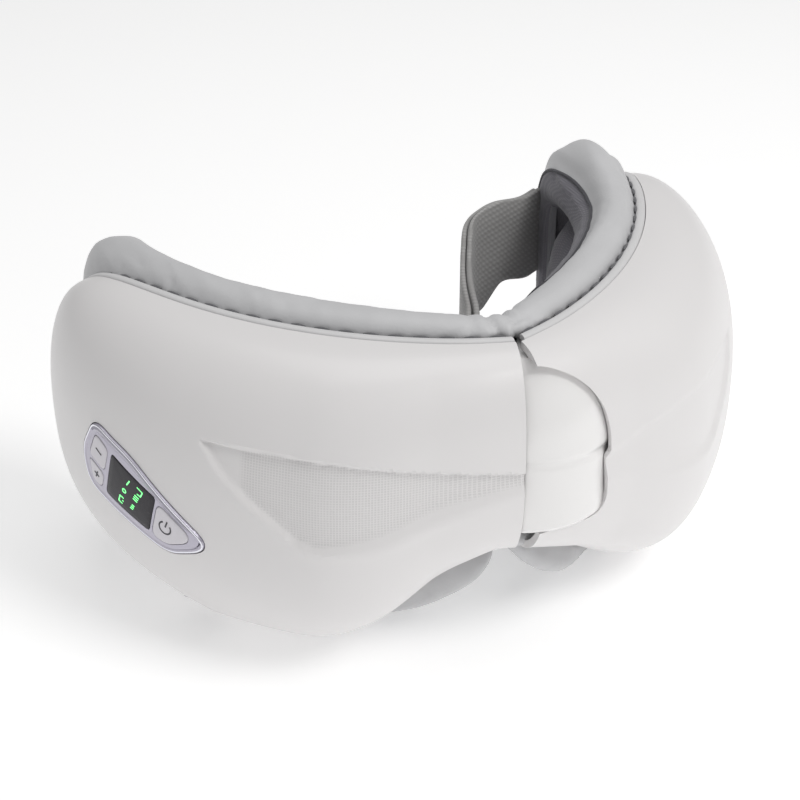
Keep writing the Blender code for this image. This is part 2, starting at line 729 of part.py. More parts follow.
def vibration_motor(word, side):
    motor = upright_can(word + "_vibration_motor", side, MOTOR_S, MOTOR_N, MOTOR_LOW, MOTOR_HIGH,
                        5.0 * MM, steel_look)
    bore = prism(word + "_motor_bore", circle(SHAFT_RADIUS + PIN_CLEARANCE, 16),
                 MOTOR_HIGH - 7.0 * MM, MOTOR_HIGH + 1.0 * MM, as_cutter=True)
    bore.location = motor.location
    boolean(motor, bore)
    shaft = upright_can(word + "_eccentric_weight", side, MOTOR_S, MOTOR_N, MOTOR_HIGH - 6.5 * MM,
                        MOTOR_HIGH + 5.6 * MM, SHAFT_RADIUS,
                        material("weight_brass", (0.55, 0.42, 0.18), 0.35, 1.0), 16)
    arc = [(4.2 * MM * math.cos(math.pi * i / 16), 4.2 * MM * math.sin(math.pi * i / 16))
           for i in range(17)]
    lobe = prism(word + "_weight_lobe", arc + [(-1.6 * MM, -1.6 * MM), (1.6 * MM, -1.6 * MM)],
                 MOTOR_HIGH + 0.8 * MM, MOTOR_HIGH + 5.0 * MM, as_cutter=True)
    lobe.location = shaft.location
    boolean(shaft, lobe, "UNION")


vibration_motor("left", LEFT)
vibration_motor("right", RIGHT)

curved_board("main_board", LEFT, (31.0 * MM, 62.0 * MM), (7.7 * MM, 9.3 * MM), (24.0 * MM, 62.0 * MM),
             board_look)
drum("speaker", LEFT, 46.0 * MM, 14.0 * MM,
     [(7.8 * MM, 7.0 * MM), (10.8 * MM, 7.0 * MM), (11.4 * MM, 5.6 * MM)],
     material("speaker_black", (0.05, 0.05, 0.05), 0.5), 24)
port = block("charging_port", LEFT, 62.0 * MM, 17.0 * MM, 6.6 * MM, (9.0 * MM, 3.2 * MM, 7.0 * MM),
             steel_look)
mouth = block("port_mouth", LEFT, 62.0 * MM, 17.0 * MM, 3.0 * MM, (7.6 * MM, 1.8 * MM, 9.0 * MM),
              as_cutter=True)
boolean(port, mouth)
slot = block("port_slot", LEFT, 62.0 * MM, 17.0 * MM, 4.0 * MM, (9.6 * MM, 3.8 * MM, 13.0 * MM),
             as_cutter=True)
boolean(left_shell, slot)

curved_board("battery", RIGHT, (36.0 * MM, 66.0 * MM), (7.9 * MM, 14.5 * MM), (22.0 * MM, 60.0 * MM),
             material("battery_wrap", (0.10, 0.16, 0.30), 0.4))
upright_can("air_pump", RIGHT, 78.0 * MM, 16.4 * MM, 26.0 * MM, 52.0 * MM, 7.0 * MM,
            material("pump_black", (0.06, 0.06, 0.07), 0.45))
block("air_valve", RIGHT, 52.0 * MM, 12.6 * MM, 12.5 * MM, (10.0 * MM, 8.0 * MM, 9.0 * MM),
      material("valve_white", (0.70, 0.70, 0.66), 0.5))


# ---------------------------------------------------------------- head strap

def strap_anchor(word, side):
    """A tab sewn to the face side of the rim pad's outer end, under the end of the strap."""
    curved_board(word + "_strap_anchor", side, (98.0 * MM, 107.0 * MM),
                 (PAD_BACK - 1.7 * MM, PAD_BACK - 0.3 * MM), (41.0 * MM, 63.0 * MM),
                 material("anchor_plastic", (0.36, 0.36, 0.38), 0.5))


def smooth_run(points, steps):
    """A smooth plan curve through every given point."""
    knots = [points[0] * 2.0 - points[1]] + points + [points[-1] * 2.0 - points[-2]]
    run = []
    for i in range(1, len(knots) - 2):
        a, b, c, d = knots[i - 1:i + 3]
        for k in range(steps):
            t = k / steps
            run.append(0.5 * (b * 2.0 + (c - a) * t + (a * 2.0 - b * 5.0 + c * 4.0 - d) * t * t
                              + (b * 3.0 - a - c * 3.0 + d) * t * t * t))
    run.append(points[-1].copy())
    return run


def ribbon(name, run, low, high, thickness, look):
    """A strap on edge along a plan run, with rounded long edges."""
    half = 0.5 * thickness
    edge = 0.45 * thickness
    rings = []
    for i, here in enumerate(run):
        ahead = run[min(i + 1, len(run) - 1)] - run[max(i - 1, 0)]
        across = Vector((ahead.y, -ahead.x)).normalized()
        ring = []
        for w, z in ((-half, low + edge), (-0.4 * half, low), (0.4 * half, low), (half, low + edge),
                     (half, high - edge), (0.4 * half, high), (-0.4 * half, high), (-half, high - edge)):
            spot = here + across * w
            ring.append(Vector((spot.x, spot.y, z)))
        rings.append(ring)
    return loft(name, rings, look)


strap_look = material("strap_webbing", STRAP_GREY, 0.85)
strap_anchor("left", LEFT)
strap_anchor("right", RIGHT)
STRAP_N = PAD_BACK - 3.6 * MM
STRAP_END = 106.6 * MM
left_run = []
for i in range(18):
    spot = pod_point(LEFT, STRAP_END + (30.0 * MM - STRAP_END) * i / 17, STRAP_N, 0.0)
    left_run.append(Vector((spot.x, spot.y)))
ribbon("left_strap_run", left_run, STRAP_LOW, STRAP_HIGH, STRAP_THICKNESS, strap_look)

knots = []
for back, drift in ((0.0, 0.2), (4.5, 0.3), (8.6, 1.2)):
    spot = pod_point(RIGHT, STRAP_END - back * MM, STRAP_N - drift * MM, 0.0)
    knots.append(Vector((spot.x, spot.y)))
for x, y in ((38.0, 71.5), (25.5, 65.5), (18.5, 54.5), (12.0, 41.0), (6.5, 27.0)):
    knots.append(Vector((x, y)) * MM)
ribbon("right_strap_run", smooth_run(knots, 4), STRAP_LOW, STRAP_HIGH, STRAP_THICKNESS, strap_look)


# ---------------------------------------------------------------- fold pivot

# Everything on the folding pod hangs from an empty on the hinge axis.
fold_pivot = bpy.data.objects.new("fold_pivot", None)
fold_pivot.location = (HINGE_X, HINGE_Y, 0.0)
parts.objects.link(fold_pivot)
fold_pivot.parent = origin
for item in parts.objects:
    if item.type == "MESH" and (item.name.startswith("right_")
                                or item.name in ("battery", "air_pump", "air_valve")):
        item.parent = fold_pivot
        item.matrix_parent_inverse = Matrix.Translation((-HINGE_X, -HINGE_Y, 0.0))
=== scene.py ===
import json
import math

import bmesh
import bpy
import numpy as np
from mathutils import Matrix, Vector
from mathutils.bvhtree import BVHTree
from mathutils.kdtree import KDTree


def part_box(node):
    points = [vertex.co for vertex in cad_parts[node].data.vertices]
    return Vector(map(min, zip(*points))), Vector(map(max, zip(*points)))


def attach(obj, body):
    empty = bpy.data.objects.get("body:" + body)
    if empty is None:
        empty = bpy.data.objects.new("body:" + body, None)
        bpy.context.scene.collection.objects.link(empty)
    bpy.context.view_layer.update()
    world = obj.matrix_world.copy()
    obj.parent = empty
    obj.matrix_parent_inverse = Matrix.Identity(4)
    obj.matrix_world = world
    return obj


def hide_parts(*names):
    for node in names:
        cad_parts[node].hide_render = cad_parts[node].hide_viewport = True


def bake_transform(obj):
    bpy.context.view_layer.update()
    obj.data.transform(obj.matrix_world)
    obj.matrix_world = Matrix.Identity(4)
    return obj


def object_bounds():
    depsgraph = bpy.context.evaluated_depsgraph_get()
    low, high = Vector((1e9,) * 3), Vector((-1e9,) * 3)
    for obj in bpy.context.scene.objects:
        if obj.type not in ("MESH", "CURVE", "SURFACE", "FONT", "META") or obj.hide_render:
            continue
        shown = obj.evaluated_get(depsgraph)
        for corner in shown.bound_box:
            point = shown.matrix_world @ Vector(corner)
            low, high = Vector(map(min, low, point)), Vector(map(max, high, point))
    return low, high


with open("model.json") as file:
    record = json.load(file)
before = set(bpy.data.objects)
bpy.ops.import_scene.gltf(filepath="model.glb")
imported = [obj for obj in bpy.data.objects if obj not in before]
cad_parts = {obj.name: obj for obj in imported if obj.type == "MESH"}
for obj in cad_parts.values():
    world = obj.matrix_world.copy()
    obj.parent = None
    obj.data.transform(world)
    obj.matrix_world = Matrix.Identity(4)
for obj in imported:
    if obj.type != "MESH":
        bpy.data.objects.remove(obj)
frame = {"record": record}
CAD_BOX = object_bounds()

MM = 0.001
LEFT = -1
RIGHT = 1
BODY = {LEFT: "left_pod", RIGHT: "right_pod"}
WORD = {LEFT: "left", RIGHT: "right"}

# The pod's shape, as in the part's source.
ARC_RADIUS = 100.5 * MM
BRIDGE_HEADING = math.radians(19.3)
STRAIGHT_BRIDGE = 15.0 * MM
POD_LENGTH = 107.6 * MM
TOP_HEIGHT = 74.5 * MM
BRIDGE_UNDERSIDE = 25.0 * MM
LOBE_START = -6.5 * MM
LOBE_FULL = 39.8 * MM
RISE_START = 56.9 * MM
OUTER_RISE = 12.6 * MM
RISE_SPAN = 53.0 * MM
CORNER_START = 61.4 * MM
CORNER_POWER = 4.0
SHELL_EDGE = 7.7 * MM
BRIDGE_DEPTH = 14.2 * MM
FULL_DEPTH = 25.2 * MM
FULL_DEPTH_AT = 34.4 * MM
END_ROUNDING_START = 30.6 * MM
END_POWER = 2.25
DOME_POWER = 2.38
SHELL_WALL = 2.0 * MM
PAD_BACK = -10.5 * MM
PAD_START = 15.0 * MM
PAD_CORNER = 20.0 * MM
HINGE_X = 5.6 * MM
HINGE_Y = 1.0 * MM
COVER_RADIUS = 21.5 * MM
COVER_WALL = 1.8 * MM
COVER_LOW = 32.6 * MM
COVER_HIGH = 71.8 * MM
# The left shell ends at the bridge in an upright plane, turned a little from the symmetry plane.
SEAM_FRONT_X = -5.1 * MM
SEAM_FRONT_Y = -22.0 * MM
SEAM_SLOPE = 0.287
SEAM_GAP = 0.18 * MM
PANEL_S = 67.0 * MM
PANEL_Z = 36.5 * MM
PANEL_SLOPE = math.radians(25.0)
STRAP_LOW = 40.0 * MM
STRAP_HIGH = 64.0 * MM

UV_UNIT = 0.1

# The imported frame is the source's frame, moved: the hinge pin says by how much.
pin_low, pin_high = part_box("hinge_pin")
SHIFT = Vector((0.5 * (pin_low[0] + pin_high[0]) - HINGE_X,
                0.5 * (pin_low[1] + pin_high[1]) - HINGE_Y,
                pin_low[2] - 34.0 * MM))


# ---------------------------------------------------------------- pod functions

def smooth(t):
    t = min(max(t, 0.0), 1.0)
    return t * t * (3.0 - 2.0 * t)


def heading(s):
    return BRIDGE_HEADING + s / ARC_RADIUS


def lean(s):
    return heading(s) * smooth(s / STRAIGHT_BRIDGE)


def pod_point(side, s, n, z):
    x = ARC_RADIUS * (math.sin(heading(s)) - math.sin(BRIDGE_HEADING)) + n * math.sin(lean(s))
    y = ARC_RADIUS * (math.cos(BRIDGE_HEADING) - math.cos(heading(s))) - n * math.cos(lean(s))
    return Vector((side * x, y, z)) + SHIFT


def underside(s):
    drop = smooth((s - LOBE_START) / (LOBE_FULL - LOBE_START))
    rise = max(0.0, s - RISE_START) / RISE_SPAN
    return BRIDGE_UNDERSIDE * (1.0 - drop) + OUTER_RISE * rise


def rounding(s, start, end, power):
    t = min(max((s - start) / (end - start), 0.0), 1.0)
    return (1.0 - t ** power) ** (1.0 / power)


def elevation(s, inset=0.0):
    low = underside(s)
    half = 0.5 * (TOP_HEIGHT - low) - inset
    closing = rounding(s, CORNER_START, POD_LENGTH - inset, CORNER_POWER)
    return 0.5 * (TOP_HEIGHT + low), half * closing


def dome_depth(s, inset=0.0):
    depth = BRIDGE_DEPTH + (FULL_DEPTH - BRIDGE_DEPTH) * smooth(s / FULL_DEPTH_AT) - inset
    return depth * rounding(s, END_ROUNDING_START, POD_LENGTH - inset, END_POWER)


def signed_power(value, power):
    return math.copysign(abs(value) ** power, value)


def spaced(start, end, count, crowding=1.0):
    span = end - start
    return [start + span * (1.0 - (1.0 - i / (count - 1)) ** crowding) for i in range(count)]


def catmull(points, steps):
    """A smooth run through every given point, of any dimension."""
    pts = [np.array(p, float) for p in points]
    knots = [pts[0] * 2.0 - pts[1]] + pts + [pts[-1] * 2.0 - pts[-2]]
    run = []
    for i in range(1, len(knots) - 2):
        a, b, c, d = knots[i - 1:i + 3]
        for k in range(steps):
            t = k / steps
            run.append(0.5 * (b * 2.0 + (c - a) * t + (a * 2.0 - b * 5.0 + c * 4.0 - d) * t * t
                              + (b * 3.0 - a - c * 3.0 + d) * t ** 3))
    run.append(pts[-1])
    return run


def resample(points, count, closed=False):
    """Evenly spaced points along a run."""
    pts = np.array([tuple(p) for p in points], float)
    if closed:
        pts = np.vstack([pts, pts[:1]])
    steps = np.linalg.norm(np.diff(pts, axis=0), axis=1)
    along = np.concatenate([[0.0], np.cumsum(steps)])
    goals = np.linspace(0.0, along[-1], count + 1 if closed else count)
    if closed:
        goals = goals[:-1]
    return np.stack([np.interp(goals, along, pts[:, k]) for k in range(pts.shape[1])], axis=1)


# ---------------------------------------------------------------- mesh helpers

shown = bpy.data.collections.new("looks")
bpy.context.scene.collection.children.link(shown)


def add_mesh(name, vertices, faces, looks, flat_angle=35.0):
    mesh = bpy.data.meshes.new(name)
    mesh.from_pydata([tuple(v) for v in vertices], [], faces)
    tidy = bmesh.new()
    tidy.from_mesh(mesh)
    bmesh.ops.recalc_face_normals(tidy, faces=tidy.faces)
    tidy.to_mesh(mesh)
    tidy.free()
    item = bpy.data.objects.new(name, mesh)
    shown.objects.link(item)
    for made in looks:
        mesh.materials.append(made)
    soften(item, flat_angle)
    return item


def soften(item, flat_angle=35.0):
    mesh = item.data
    mesh.polygons.foreach_set("use_smooth", [True] * len(mesh.polygons))
    mesh.set_sharp_from_angle(angle=math.radians(flat_angle))


def hidden_mesh(name, vertices, faces):
    item = add_mesh(name, vertices, faces, [])
    item.hide_render = True
    return item


def bake(item):
    """Applies the modifiers of an object."""
    graph = bpy.context.evaluated_depsgraph_get()
    mesh = bpy.data.meshes.new_from_object(item.evaluated_get(graph), preserve_all_data_layers=True,
                                           depsgraph=graph)
    old = item.data
    item.modifiers.clear()
    item.data = mesh
    bpy.data.meshes.remove(old)


def carve(item, *cutters, operation="DIFFERENCE"):
    """Cuts a piece with helper solids, which are then removed."""
    for cutter in cutters:
        change = item.modifiers.new(cutter.name, "BOOLEAN")
        change.operation = operation
        change.solver = "EXACT"
        change.object = cutter
    bake(item)
    for cutter in cutters:
        bpy.data.objects.remove(cutter, do_unlink=True)


def ring_faces(rings, size, closed=False):
    """Quads between equal rings of points, one after another."""
    faces = []
    last = rings if closed else rings - 1
    for i in range(last):
        a = i * size
        b = ((i + 1) % rings) * size
        for j in range(size):
            k = (j + 1) % size
            faces.append((a + j, a + k, b + k, b + j))
    return faces


def grid_faces(rows, columns, base=0):
    """Quads of a sheet of points, kept row by row."""
    faces = []
    for i in range(rows - 1):
        for j in range(columns - 1):
            a = base + i * columns + j
            faces.append((a, a + 1, a + columns + 1, a + columns))
    return faces


def border_faces(starts, step, count):
    """Quads that join one edge of a sheet to the same edge of the next sheet, count points on."""
    return [(a, a + step, count + a + step, count + a) for a in starts]


def ring_parts(rings, closed=False):
    """Vertices and faces through rings of points, with both ends filled unless it closes on itself."""
    size = len(rings[0])
    vertices = [p for ring in rings for p in ring]
    faces = ring_faces(len(rings), size, closed)
    if not closed:
        faces.append(tuple(range(size)))
        faces.append(tuple(range(len(vertices) - size, len(vertices))))
    return vertices, faces


def loft(name, rings, looks, flat_angle=35.0):
    return add_mesh(name, *ring_parts(rings), looks, flat_angle)


def cutter(name, rings):
    """A helper solid for carve."""
    return hidden_mesh(name, *ring_parts(rings))


def tube_parts(path, radius, sides=8, closed=False, flat=1.0, up=None):
    """Vertices and faces of a round cord along a path; flat squeezes it along up."""
    points = [Vector(p) for p in path]
    count = len(points)
    rings = []
    for i, here in enumerate(points):
        before = points[i - 1] if closed or i else here
        after = points[(i + 1) % count] if closed or i < count - 1 else here
        run = (after - before).normalized()
        axis = up(i) if up else Vector((0.0, 0.0, 1.0))
        across = run.cross(axis)
        if across.length < 1e-6:
            across = run.orthogonal()
        across.normalize()
        lift = across.cross(run).normalized()
        thick = radius(i / max(count - 1, 1)) if callable(radius) else radius
        ring = []
        for k in range(sides):
            angle = 2.0 * math.pi * k / sides
            ring.append(here + across * (thick * math.cos(angle))
                        + lift * (thick * flat * math.sin(angle)))
        rings.append(ring)
    return ring_parts(rings, closed)


def settle(item, body, slot, *nodes):
    """The piece rides on a body and stands for the CAD nodes named; slot is not used."""
    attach(item, body)
    if nodes:
        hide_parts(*nodes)


def join_parts(parts):
    vertices = []
    faces = []
    for part_vertices, part_faces in parts:
        base = len(vertices)
        vertices.extend(part_vertices)
        faces.extend(tuple(base + k for k in face) for face in part_faces)
    return vertices, faces


# ---------------------------------------------------------------- materials

class Nodes:
    """Short calls for building a material's nodes."""

    def __init__(self, name, color, roughness, metallic=0.0, **constants):
        self.material = bpy.data.materials.new(name)
        self.material.use_nodes = True
        self.material.diffuse_color = (*color, 1.0)
        self.tree = self.material.node_tree
        self.shader = self.tree.nodes["Principled BSDF"]
        self.color = color
        self.shader.inputs["Base Color"].default_value = (*color, 1.0)
        self.shader.inputs["Roughness"].default_value = roughness
        self.shader.inputs["Metallic"].default_value = metallic
        for key, value in constants.items():
            self.shader.inputs[key.replace("_", " ")].default_value = value
        self.coords = self.node("TexCoord")
        self.height = None

    def link(self, a, b):
        self.tree.links.new(a, b)

    def node(self, kind, **values):
        """A new node of a kind, with its inputs set; an underscore stands for a space."""
        node = self.tree.nodes.new("ShaderNode" + kind)
        for key, value in values.items():
            node.inputs[key.replace("_", " ")].default_value = value
        return node

    def noise(self, scale, detail=3.0, rough=0.55, stretch=(1.0, 1.0, 1.0)):
        mapping = self.node("Mapping", Scale=stretch)
        self.link(self.coords.outputs["Object"], mapping.inputs["Vector"])
        node = self.node("TexNoise", Scale=scale, Detail=detail, Roughness=rough)
        self.link(mapping.outputs[0], node.inputs["Vector"])
        return node.outputs["Fac"]

    def cells(self, scale, feature="F1"):
        node = self.node("TexVoronoi", Scale=scale)
        node.feature = feature
        self.link(self.coords.outputs["Object"], node.inputs["Vector"])
        return node.outputs["Distance"]

    def waves(self, scale, axis, source="Object", distortion=0.0):
        node = self.node("TexWave", Scale=scale, Distortion=distortion)
        node.bands_direction = axis
        self.link(self.coords.outputs[source], node.inputs["Vector"])
        return node.outputs["Fac"]

    def math(self, operation, a, b):
        node = self.node("Math")
        node.operation = operation
        for socket, value in ((node.inputs[0], a), (node.inputs[1], b)):
            if isinstance(value, (int, float)):
                socket.default_value = value
            else:
                self.link(value, socket)
        return node.outputs[0]

    def span(self, value, low, high, from_low=0.0, from_high=1.0):
        node = self.node("MapRange", From_Min=from_low, From_Max=from_high, To_Min=low, To_Max=high)
        self.link(value, node.inputs["Value"])
        return node.outputs[0]

    def tint(self, value, dark, light):
        """Base colour between two shades, by a pattern."""
        node = self.node("Mix")
        node.data_type = "RGBA"
        node.inputs["A"].default_value = (*dark, 1.0)
        node.inputs["B"].default_value = (*light, 1.0)
        self.link(value, node.inputs["Factor"])
        self.link(node.outputs["Result"], self.shader.inputs["Base Color"])

    def shades(self, value, amount):
        dark = tuple(c * (1.0 - amount) for c in self.color)
        light = tuple(min(1.0, c * (1.0 + amount)) for c in self.color)
        self.tint(value, dark, light)

    def gloss(self, value, low, high):
        self.link(self.span(value, low, high), self.shader.inputs["Roughness"])

    def bump(self, value, strength, depth):
        node = self.node("Bump", Strength=strength, Distance=depth)
        self.link(value, node.inputs["Height"])
        if self.height is not None:
            self.link(self.height, node.inputs["Normal"])
        self.height = node.outputs["Normal"]
        self.link(self.height, self.shader.inputs["Normal"])


def plastic(name, color, roughness, coat=0.0, grain=0.25):
    made = Nodes(name, color, roughness, Coat_Weight=coat, Coat_Roughness=0.12)
    broad = made.noise(28.0, 3.0)
    fine = made.noise(900.0, 4.0)
    made.shades(broad, 0.015)
    made.gloss(fine, roughness - 0.05, roughness + 0.05)
    made.bump(made.noise(1500.0, 3.0), grain, 0.00003)
    return made.material


def grip_plastic(name, color, roughness, coat):
    """Shell plastic with rows of fine square studs where the Grip map says so."""
    made = Nodes(name, color, roughness, Coat_Weight=coat, Coat_Roughness=0.12)
    where = made.node("UVMap")
    where.uv_map = "Grip"
    split = made.node("SeparateXYZ")
    made.link(where.outputs["UV"], split.inputs[0])
    share = made.span(split.outputs["X"], 0.0, 1.0, 0.55, 0.9)
    pitch = 0.60 * MM / UV_UNIT
    grid = made.node("TexBrick", Scale=1.0, Mortar_Size=pitch * 0.16, Mortar_Smooth=0.25,
                     Brick_Width=0.85 * pitch, Row_Height=pitch)
    grid.offset = 0.0
    grid.squash = 1.0
    made.link(made.coords.outputs["UV"], grid.inputs["Vector"])
    studs = made.math("MULTIPLY", made.math("SUBTRACT", 1.0, grid.outputs["Fac"]), share)
    made.tint(studs, color, tuple(c * 0.88 for c in color))
    made.gloss(made.noise(900.0, 4.0), roughness - 0.05, roughness + 0.05)
    made.bump(made.noise(1500.0, 3.0), 0.25, 0.00003)
    made.bump(studs, 0.5, -0.00012)
    return made.material


def leather(name, color, roughness, wrinkle=0.5):
    made = Nodes(name, color, roughness, Sheen_Weight=0.12, Sheen_Roughness=0.5)
    grain = made.cells(1350.0)
    pores = made.noise(2600.0, 2.0)
    broad = made.noise(90.0, 4.0)
    made.shades(broad, 0.05)
    made.gloss(made.math("ADD", made.math("MULTIPLY", grain, 0.8), made.math("MULTIPLY", broad, 0.4)),
               roughness - 0.08, roughness + 0.10)
    made.bump(broad, wrinkle * 0.35, 0.00035)
    made.bump(grain, 0.30, 0.00007)
    made.bump(pores, 0.12, 0.00004)
    return made.material


def fabric(name, dark, light, pitch, roughness=0.85):
    """A fine knit, woven from two crossed rows of ribs."""
    made = Nodes(name, light, roughness, Sheen_Weight=0.25, Sheen_Roughness=0.45)
    rows = made.waves(0.314 / pitch, "Z", distortion=0.6)
    cols = made.waves(0.314 / pitch, "X", distortion=0.6)
    knit = made.math("MULTIPLY", rows, cols)
    broad = made.noise(60.0, 4.0)
    mixed = made.math("ADD", made.math("MULTIPLY", knit, 0.45), made.math("MULTIPLY", broad, 0.55))
    made.tint(mixed, dark, light)
    made.gloss(broad, roughness - 0.06, roughness + 0.06)
    made.bump(broad, 0.25, 0.0006)
    made.bump(knit, 0.55, 0.00012)
    return made.material


def webbing(name, dark, light):
    """Herringbone webbing on a UV map of metres along and across the strap."""
    made = Nodes(name, light, 0.8, Sheen_Weight=0.3, Sheen_Roughness=0.4)
    ribs = made.waves(0.314 / (1.5 * MM) * UV_UNIT, "Y", "UV")
    picks = made.waves(0.314 / (0.8 * MM) * UV_UNIT, "DIAGONAL", "UV")
    knit = made.math("MULTIPLY", ribs, picks)
    broad = made.noise(70.0, 4.0)
    made.tint(made.math("ADD", made.math("MULTIPLY", knit, 0.5), made.math("MULTIPLY", broad, 0.5)),
              dark, light)
    made.gloss(broad, 0.72, 0.88)
    made.bump(ribs, 0.35, 0.00018)
    made.bump(picks, 0.30, 0.00010)
    return made.material


def metal(name, color, roughness, metallic=1.0, brushed=(1.0, 1.0, 14.0), coat=0.0):
    made = Nodes(name, color, roughness, metallic, Coat_Weight=coat, Coat_Roughness=0.1)
    lines = made.noise(420.0, 4.0, 0.6, brushed)
    made.shades(lines, 0.02)
    made.gloss(lines, max(0.04, roughness - 0.07), roughness + 0.08)
    made.bump(lines, 0.05, 0.00001)
    return made.material


def board(name, color):
    made = Nodes(name, color, 0.45, Coat_Weight=0.3, Coat_Roughness=0.15)
    tracks = made.cells(520.0, "DISTANCE_TO_EDGE")
    line = made.span(tracks, 1.0, 0.0, 0.03, 0.07)
    made.tint(line, color, tuple(min(1.0, c * 2.2 + 0.02) for c in color))
    made.bump(line, 0.3, 0.00004)
    made.gloss(made.noise(600.0), 0.38, 0.55)
    return made.material


SHELL_COLOR = (0.78, 0.765, 0.765)
SHELL = plastic("shell_white_look", SHELL_COLOR, 0.36, 0.10)
GRIP = grip_plastic("shell_grip_look", SHELL_COLOR, 0.36, 0.10)
COVER = plastic("cover_gloss_look", (0.86, 0.85, 0.845), 0.20, 0.5, 0.1)
INSIDE = plastic("shell_inside_look", (0.42, 0.41, 0.41), 0.55)
LEATHER = leather("rim_leather_look", (0.57, 0.57, 0.58), 0.50)
WELT = leather("welt_look", (0.66, 0.655, 0.66), 0.45, 0.2)
THREAD = fabric("thread_look", (0.10, 0.10, 0.11), (0.20, 0.20, 0.21), 0.25 * MM)
KNIT = fabric("cushion_knit_look", (0.13, 0.125, 0.145), (0.25, 0.245, 0.27), 0.45 * MM)
SEAM = fabric("seam_cord_look", (0.05, 0.05, 0.06), (0.09, 0.09, 0.10), 0.3 * MM)
STRAP = webbing("strap_webbing_look", (0.26, 0.255, 0.25), (0.44, 0.435, 0.43))
BEZEL = metal("bezel_silver_look", (0.50, 0.48, 0.56), 0.30, 0.45, (1.0, 3.0, 1.0), 0.25)
# A darker copy of the bezel metal: painted shade for the downward-facing upper slope of the bezel lip.
BEZEL_PAINTED_SHADE = metal("bezel_chamfer_painted_shade_look", (0.20, 0.19, 0.24), 0.26, 0.7, (1.0, 3.0, 1.0), 0.3)
CHROME = metal("chrome_look", (0.80, 0.80, 0.86), 0.08, 1.0)
KEY = metal("key_silver_look", (0.68, 0.66, 0.70), 0.42, 0.12, (1.0, 3.0, 1.0), 0.15)
INK = plastic("icon_ink_look", (0.035, 0.033, 0.045), 0.4)
STEEL_LOOK = metal("hinge_steel_look", (0.56, 0.56, 0.58), 0.28)


# ---------------------------------------------------------------- outer shells

# Grip recess on the face of a pod, between two curves over s, in millimetres.
GRIP_TOP = ((-3.0, 49.2), (4.3, 50.2), (12.7, 53.2), (21.8, 55.5), (29.7, 57.2), (40.0, 57.7),
            (53.5, 57.2))
GRIP_TOP_RIGHT = ((-3.0, 45.0), (4.3, 46.4), (10.1, 48.8), (16.4, 52.1), (26.1, 54.8), (40.0, 56.0),
                  (53.5, 55.5))
GRIP_LOW = ((-3.0, 44.6), (4.8, 44.2), (11.3, 42.0), (16.1, 39.4), (21.0, 36.8), (25.0, 35.7),
            (32.6, 35.6), (36.2, 36.9), (40.1, 40.9), (45.1, 45.6), (49.5, 49.8), (53.5, 56.6))
GRIP_DEPTH = 1.15 * MM
GRIP_LIP = 0.7 * MM
GRIP_SOFT = 4.5 * MM
GRIP_FIRM = 1.5 * MM
RIDGE_HEIGHT = 0.30 * MM


def curve_table(knots):
    """A knotted curve, evened out, as fine arrays of s and z in metres."""
    s = np.arange(-8.0, 62.0, 0.25)
    z = np.interp(s, [k[0] for k in knots], [k[1] for k in knots])
    box = np.ones(11) / 11.0
    z = np.convolve(np.pad(z, 5, mode="edge"), box, "valid")
    return s * MM, z * MM


def soft_step(value):
    t = np.clip(value, 0.0, 1.0)
    return t * t * (3.0 - 2.0 * t)


def grip_relief(side, s, z):
    """Push of the surface along its normal, and the share of the recess, at arrays of (s, z)."""
    ts, tz = curve_table(GRIP_TOP if side == LEFT else GRIP_TOP_RIGHT)
    lip = GRIP_LIP if side == LEFT else 2.2 * GRIP_LIP
    ls, lz = curve_table(GRIP_LOW)
    slope_top = np.interp(s, ts, np.gradient(tz, ts))
    slope_low = np.interp(s, ls, np.gradient(lz, ls))
    under_top = (np.interp(s, ts, tz) - z) / np.sqrt(1.0 + slope_top ** 2)
    over_low = (z - np.interp(s, ls, lz)) / np.sqrt(1.0 + slope_low ** 2)
    firm = soft_step((s - 22.0 * MM) / (12.0 * MM))
    soft = GRIP_SOFT + (GRIP_FIRM - GRIP_SOFT) * firm
    inside = soft_step(under_top / lip) * soft_step(over_low / soft)
    inside *= soft_step((53.4 * MM - s) / lip)
    ridge = np.exp(-((over_low + 0.6 * MM) / (1.4 * MM)) ** 2)
    ridge *= soft_step((s - 3.0 * MM) / (8.0 * MM)) * soft_step((50.0 * MM - s) / (6.0 * MM))
    share = 1.0 if side == LEFT else 0.65
    return share * (RIDGE_HEIGHT * ridge * (1.0 - 0.4 * inside) - GRIP_DEPTH * inside), inside


BARREL_THINNING = 0.6 * MM


def nose_lift(side, s):
    """The left shell's underside is arched a little higher beside the nose."""
    if side == RIGHT:
        return 0.0
    return 3.6 * MM * smooth((s + 1.0 * MM) / (8.0 * MM)) * smooth((26.0 * MM - s) / (16.0 * MM))


def dome_grid(side, inset, steps_s, steps_z, bridge_s=0.0, thinner=0.0):
    """Points over the dome; thinner holds an inner surface closer to the outer beside the barrel."""
    s_values = spaced(bridge_s, POD_LENGTH - inset - 0.004 * MM, steps_s, 1.7)
    grid = np.zeros((steps_s, steps_z, 3))
    place = np.zeros((steps_s, steps_z, 2))
    for i, s in enumerate(s_values):
        extra = -thinner * smooth((36.0 * MM - s) / (14.0 * MM))
        middle, half = elevation(s, inset)
        half -= 0.3 * extra
        depth = dome_depth(s, inset) - extra
        for j in range(steps_z):
            angle = math.pi * (j / (steps_z - 1) - 0.5)
            n = SHELL_EDGE + depth * abs(math.cos(angle)) ** (2.0 / DOME_POWER)
            z = middle + half * signed_power(math.sin(angle), 2.0 / DOME_POWER)
            z += nose_lift(side, s) * smooth(-1.2 * math.sin(angle))
            grid[i, j] = pod_point(side, s, n, z)
            place[i, j] = (s, z)
    return grid, place


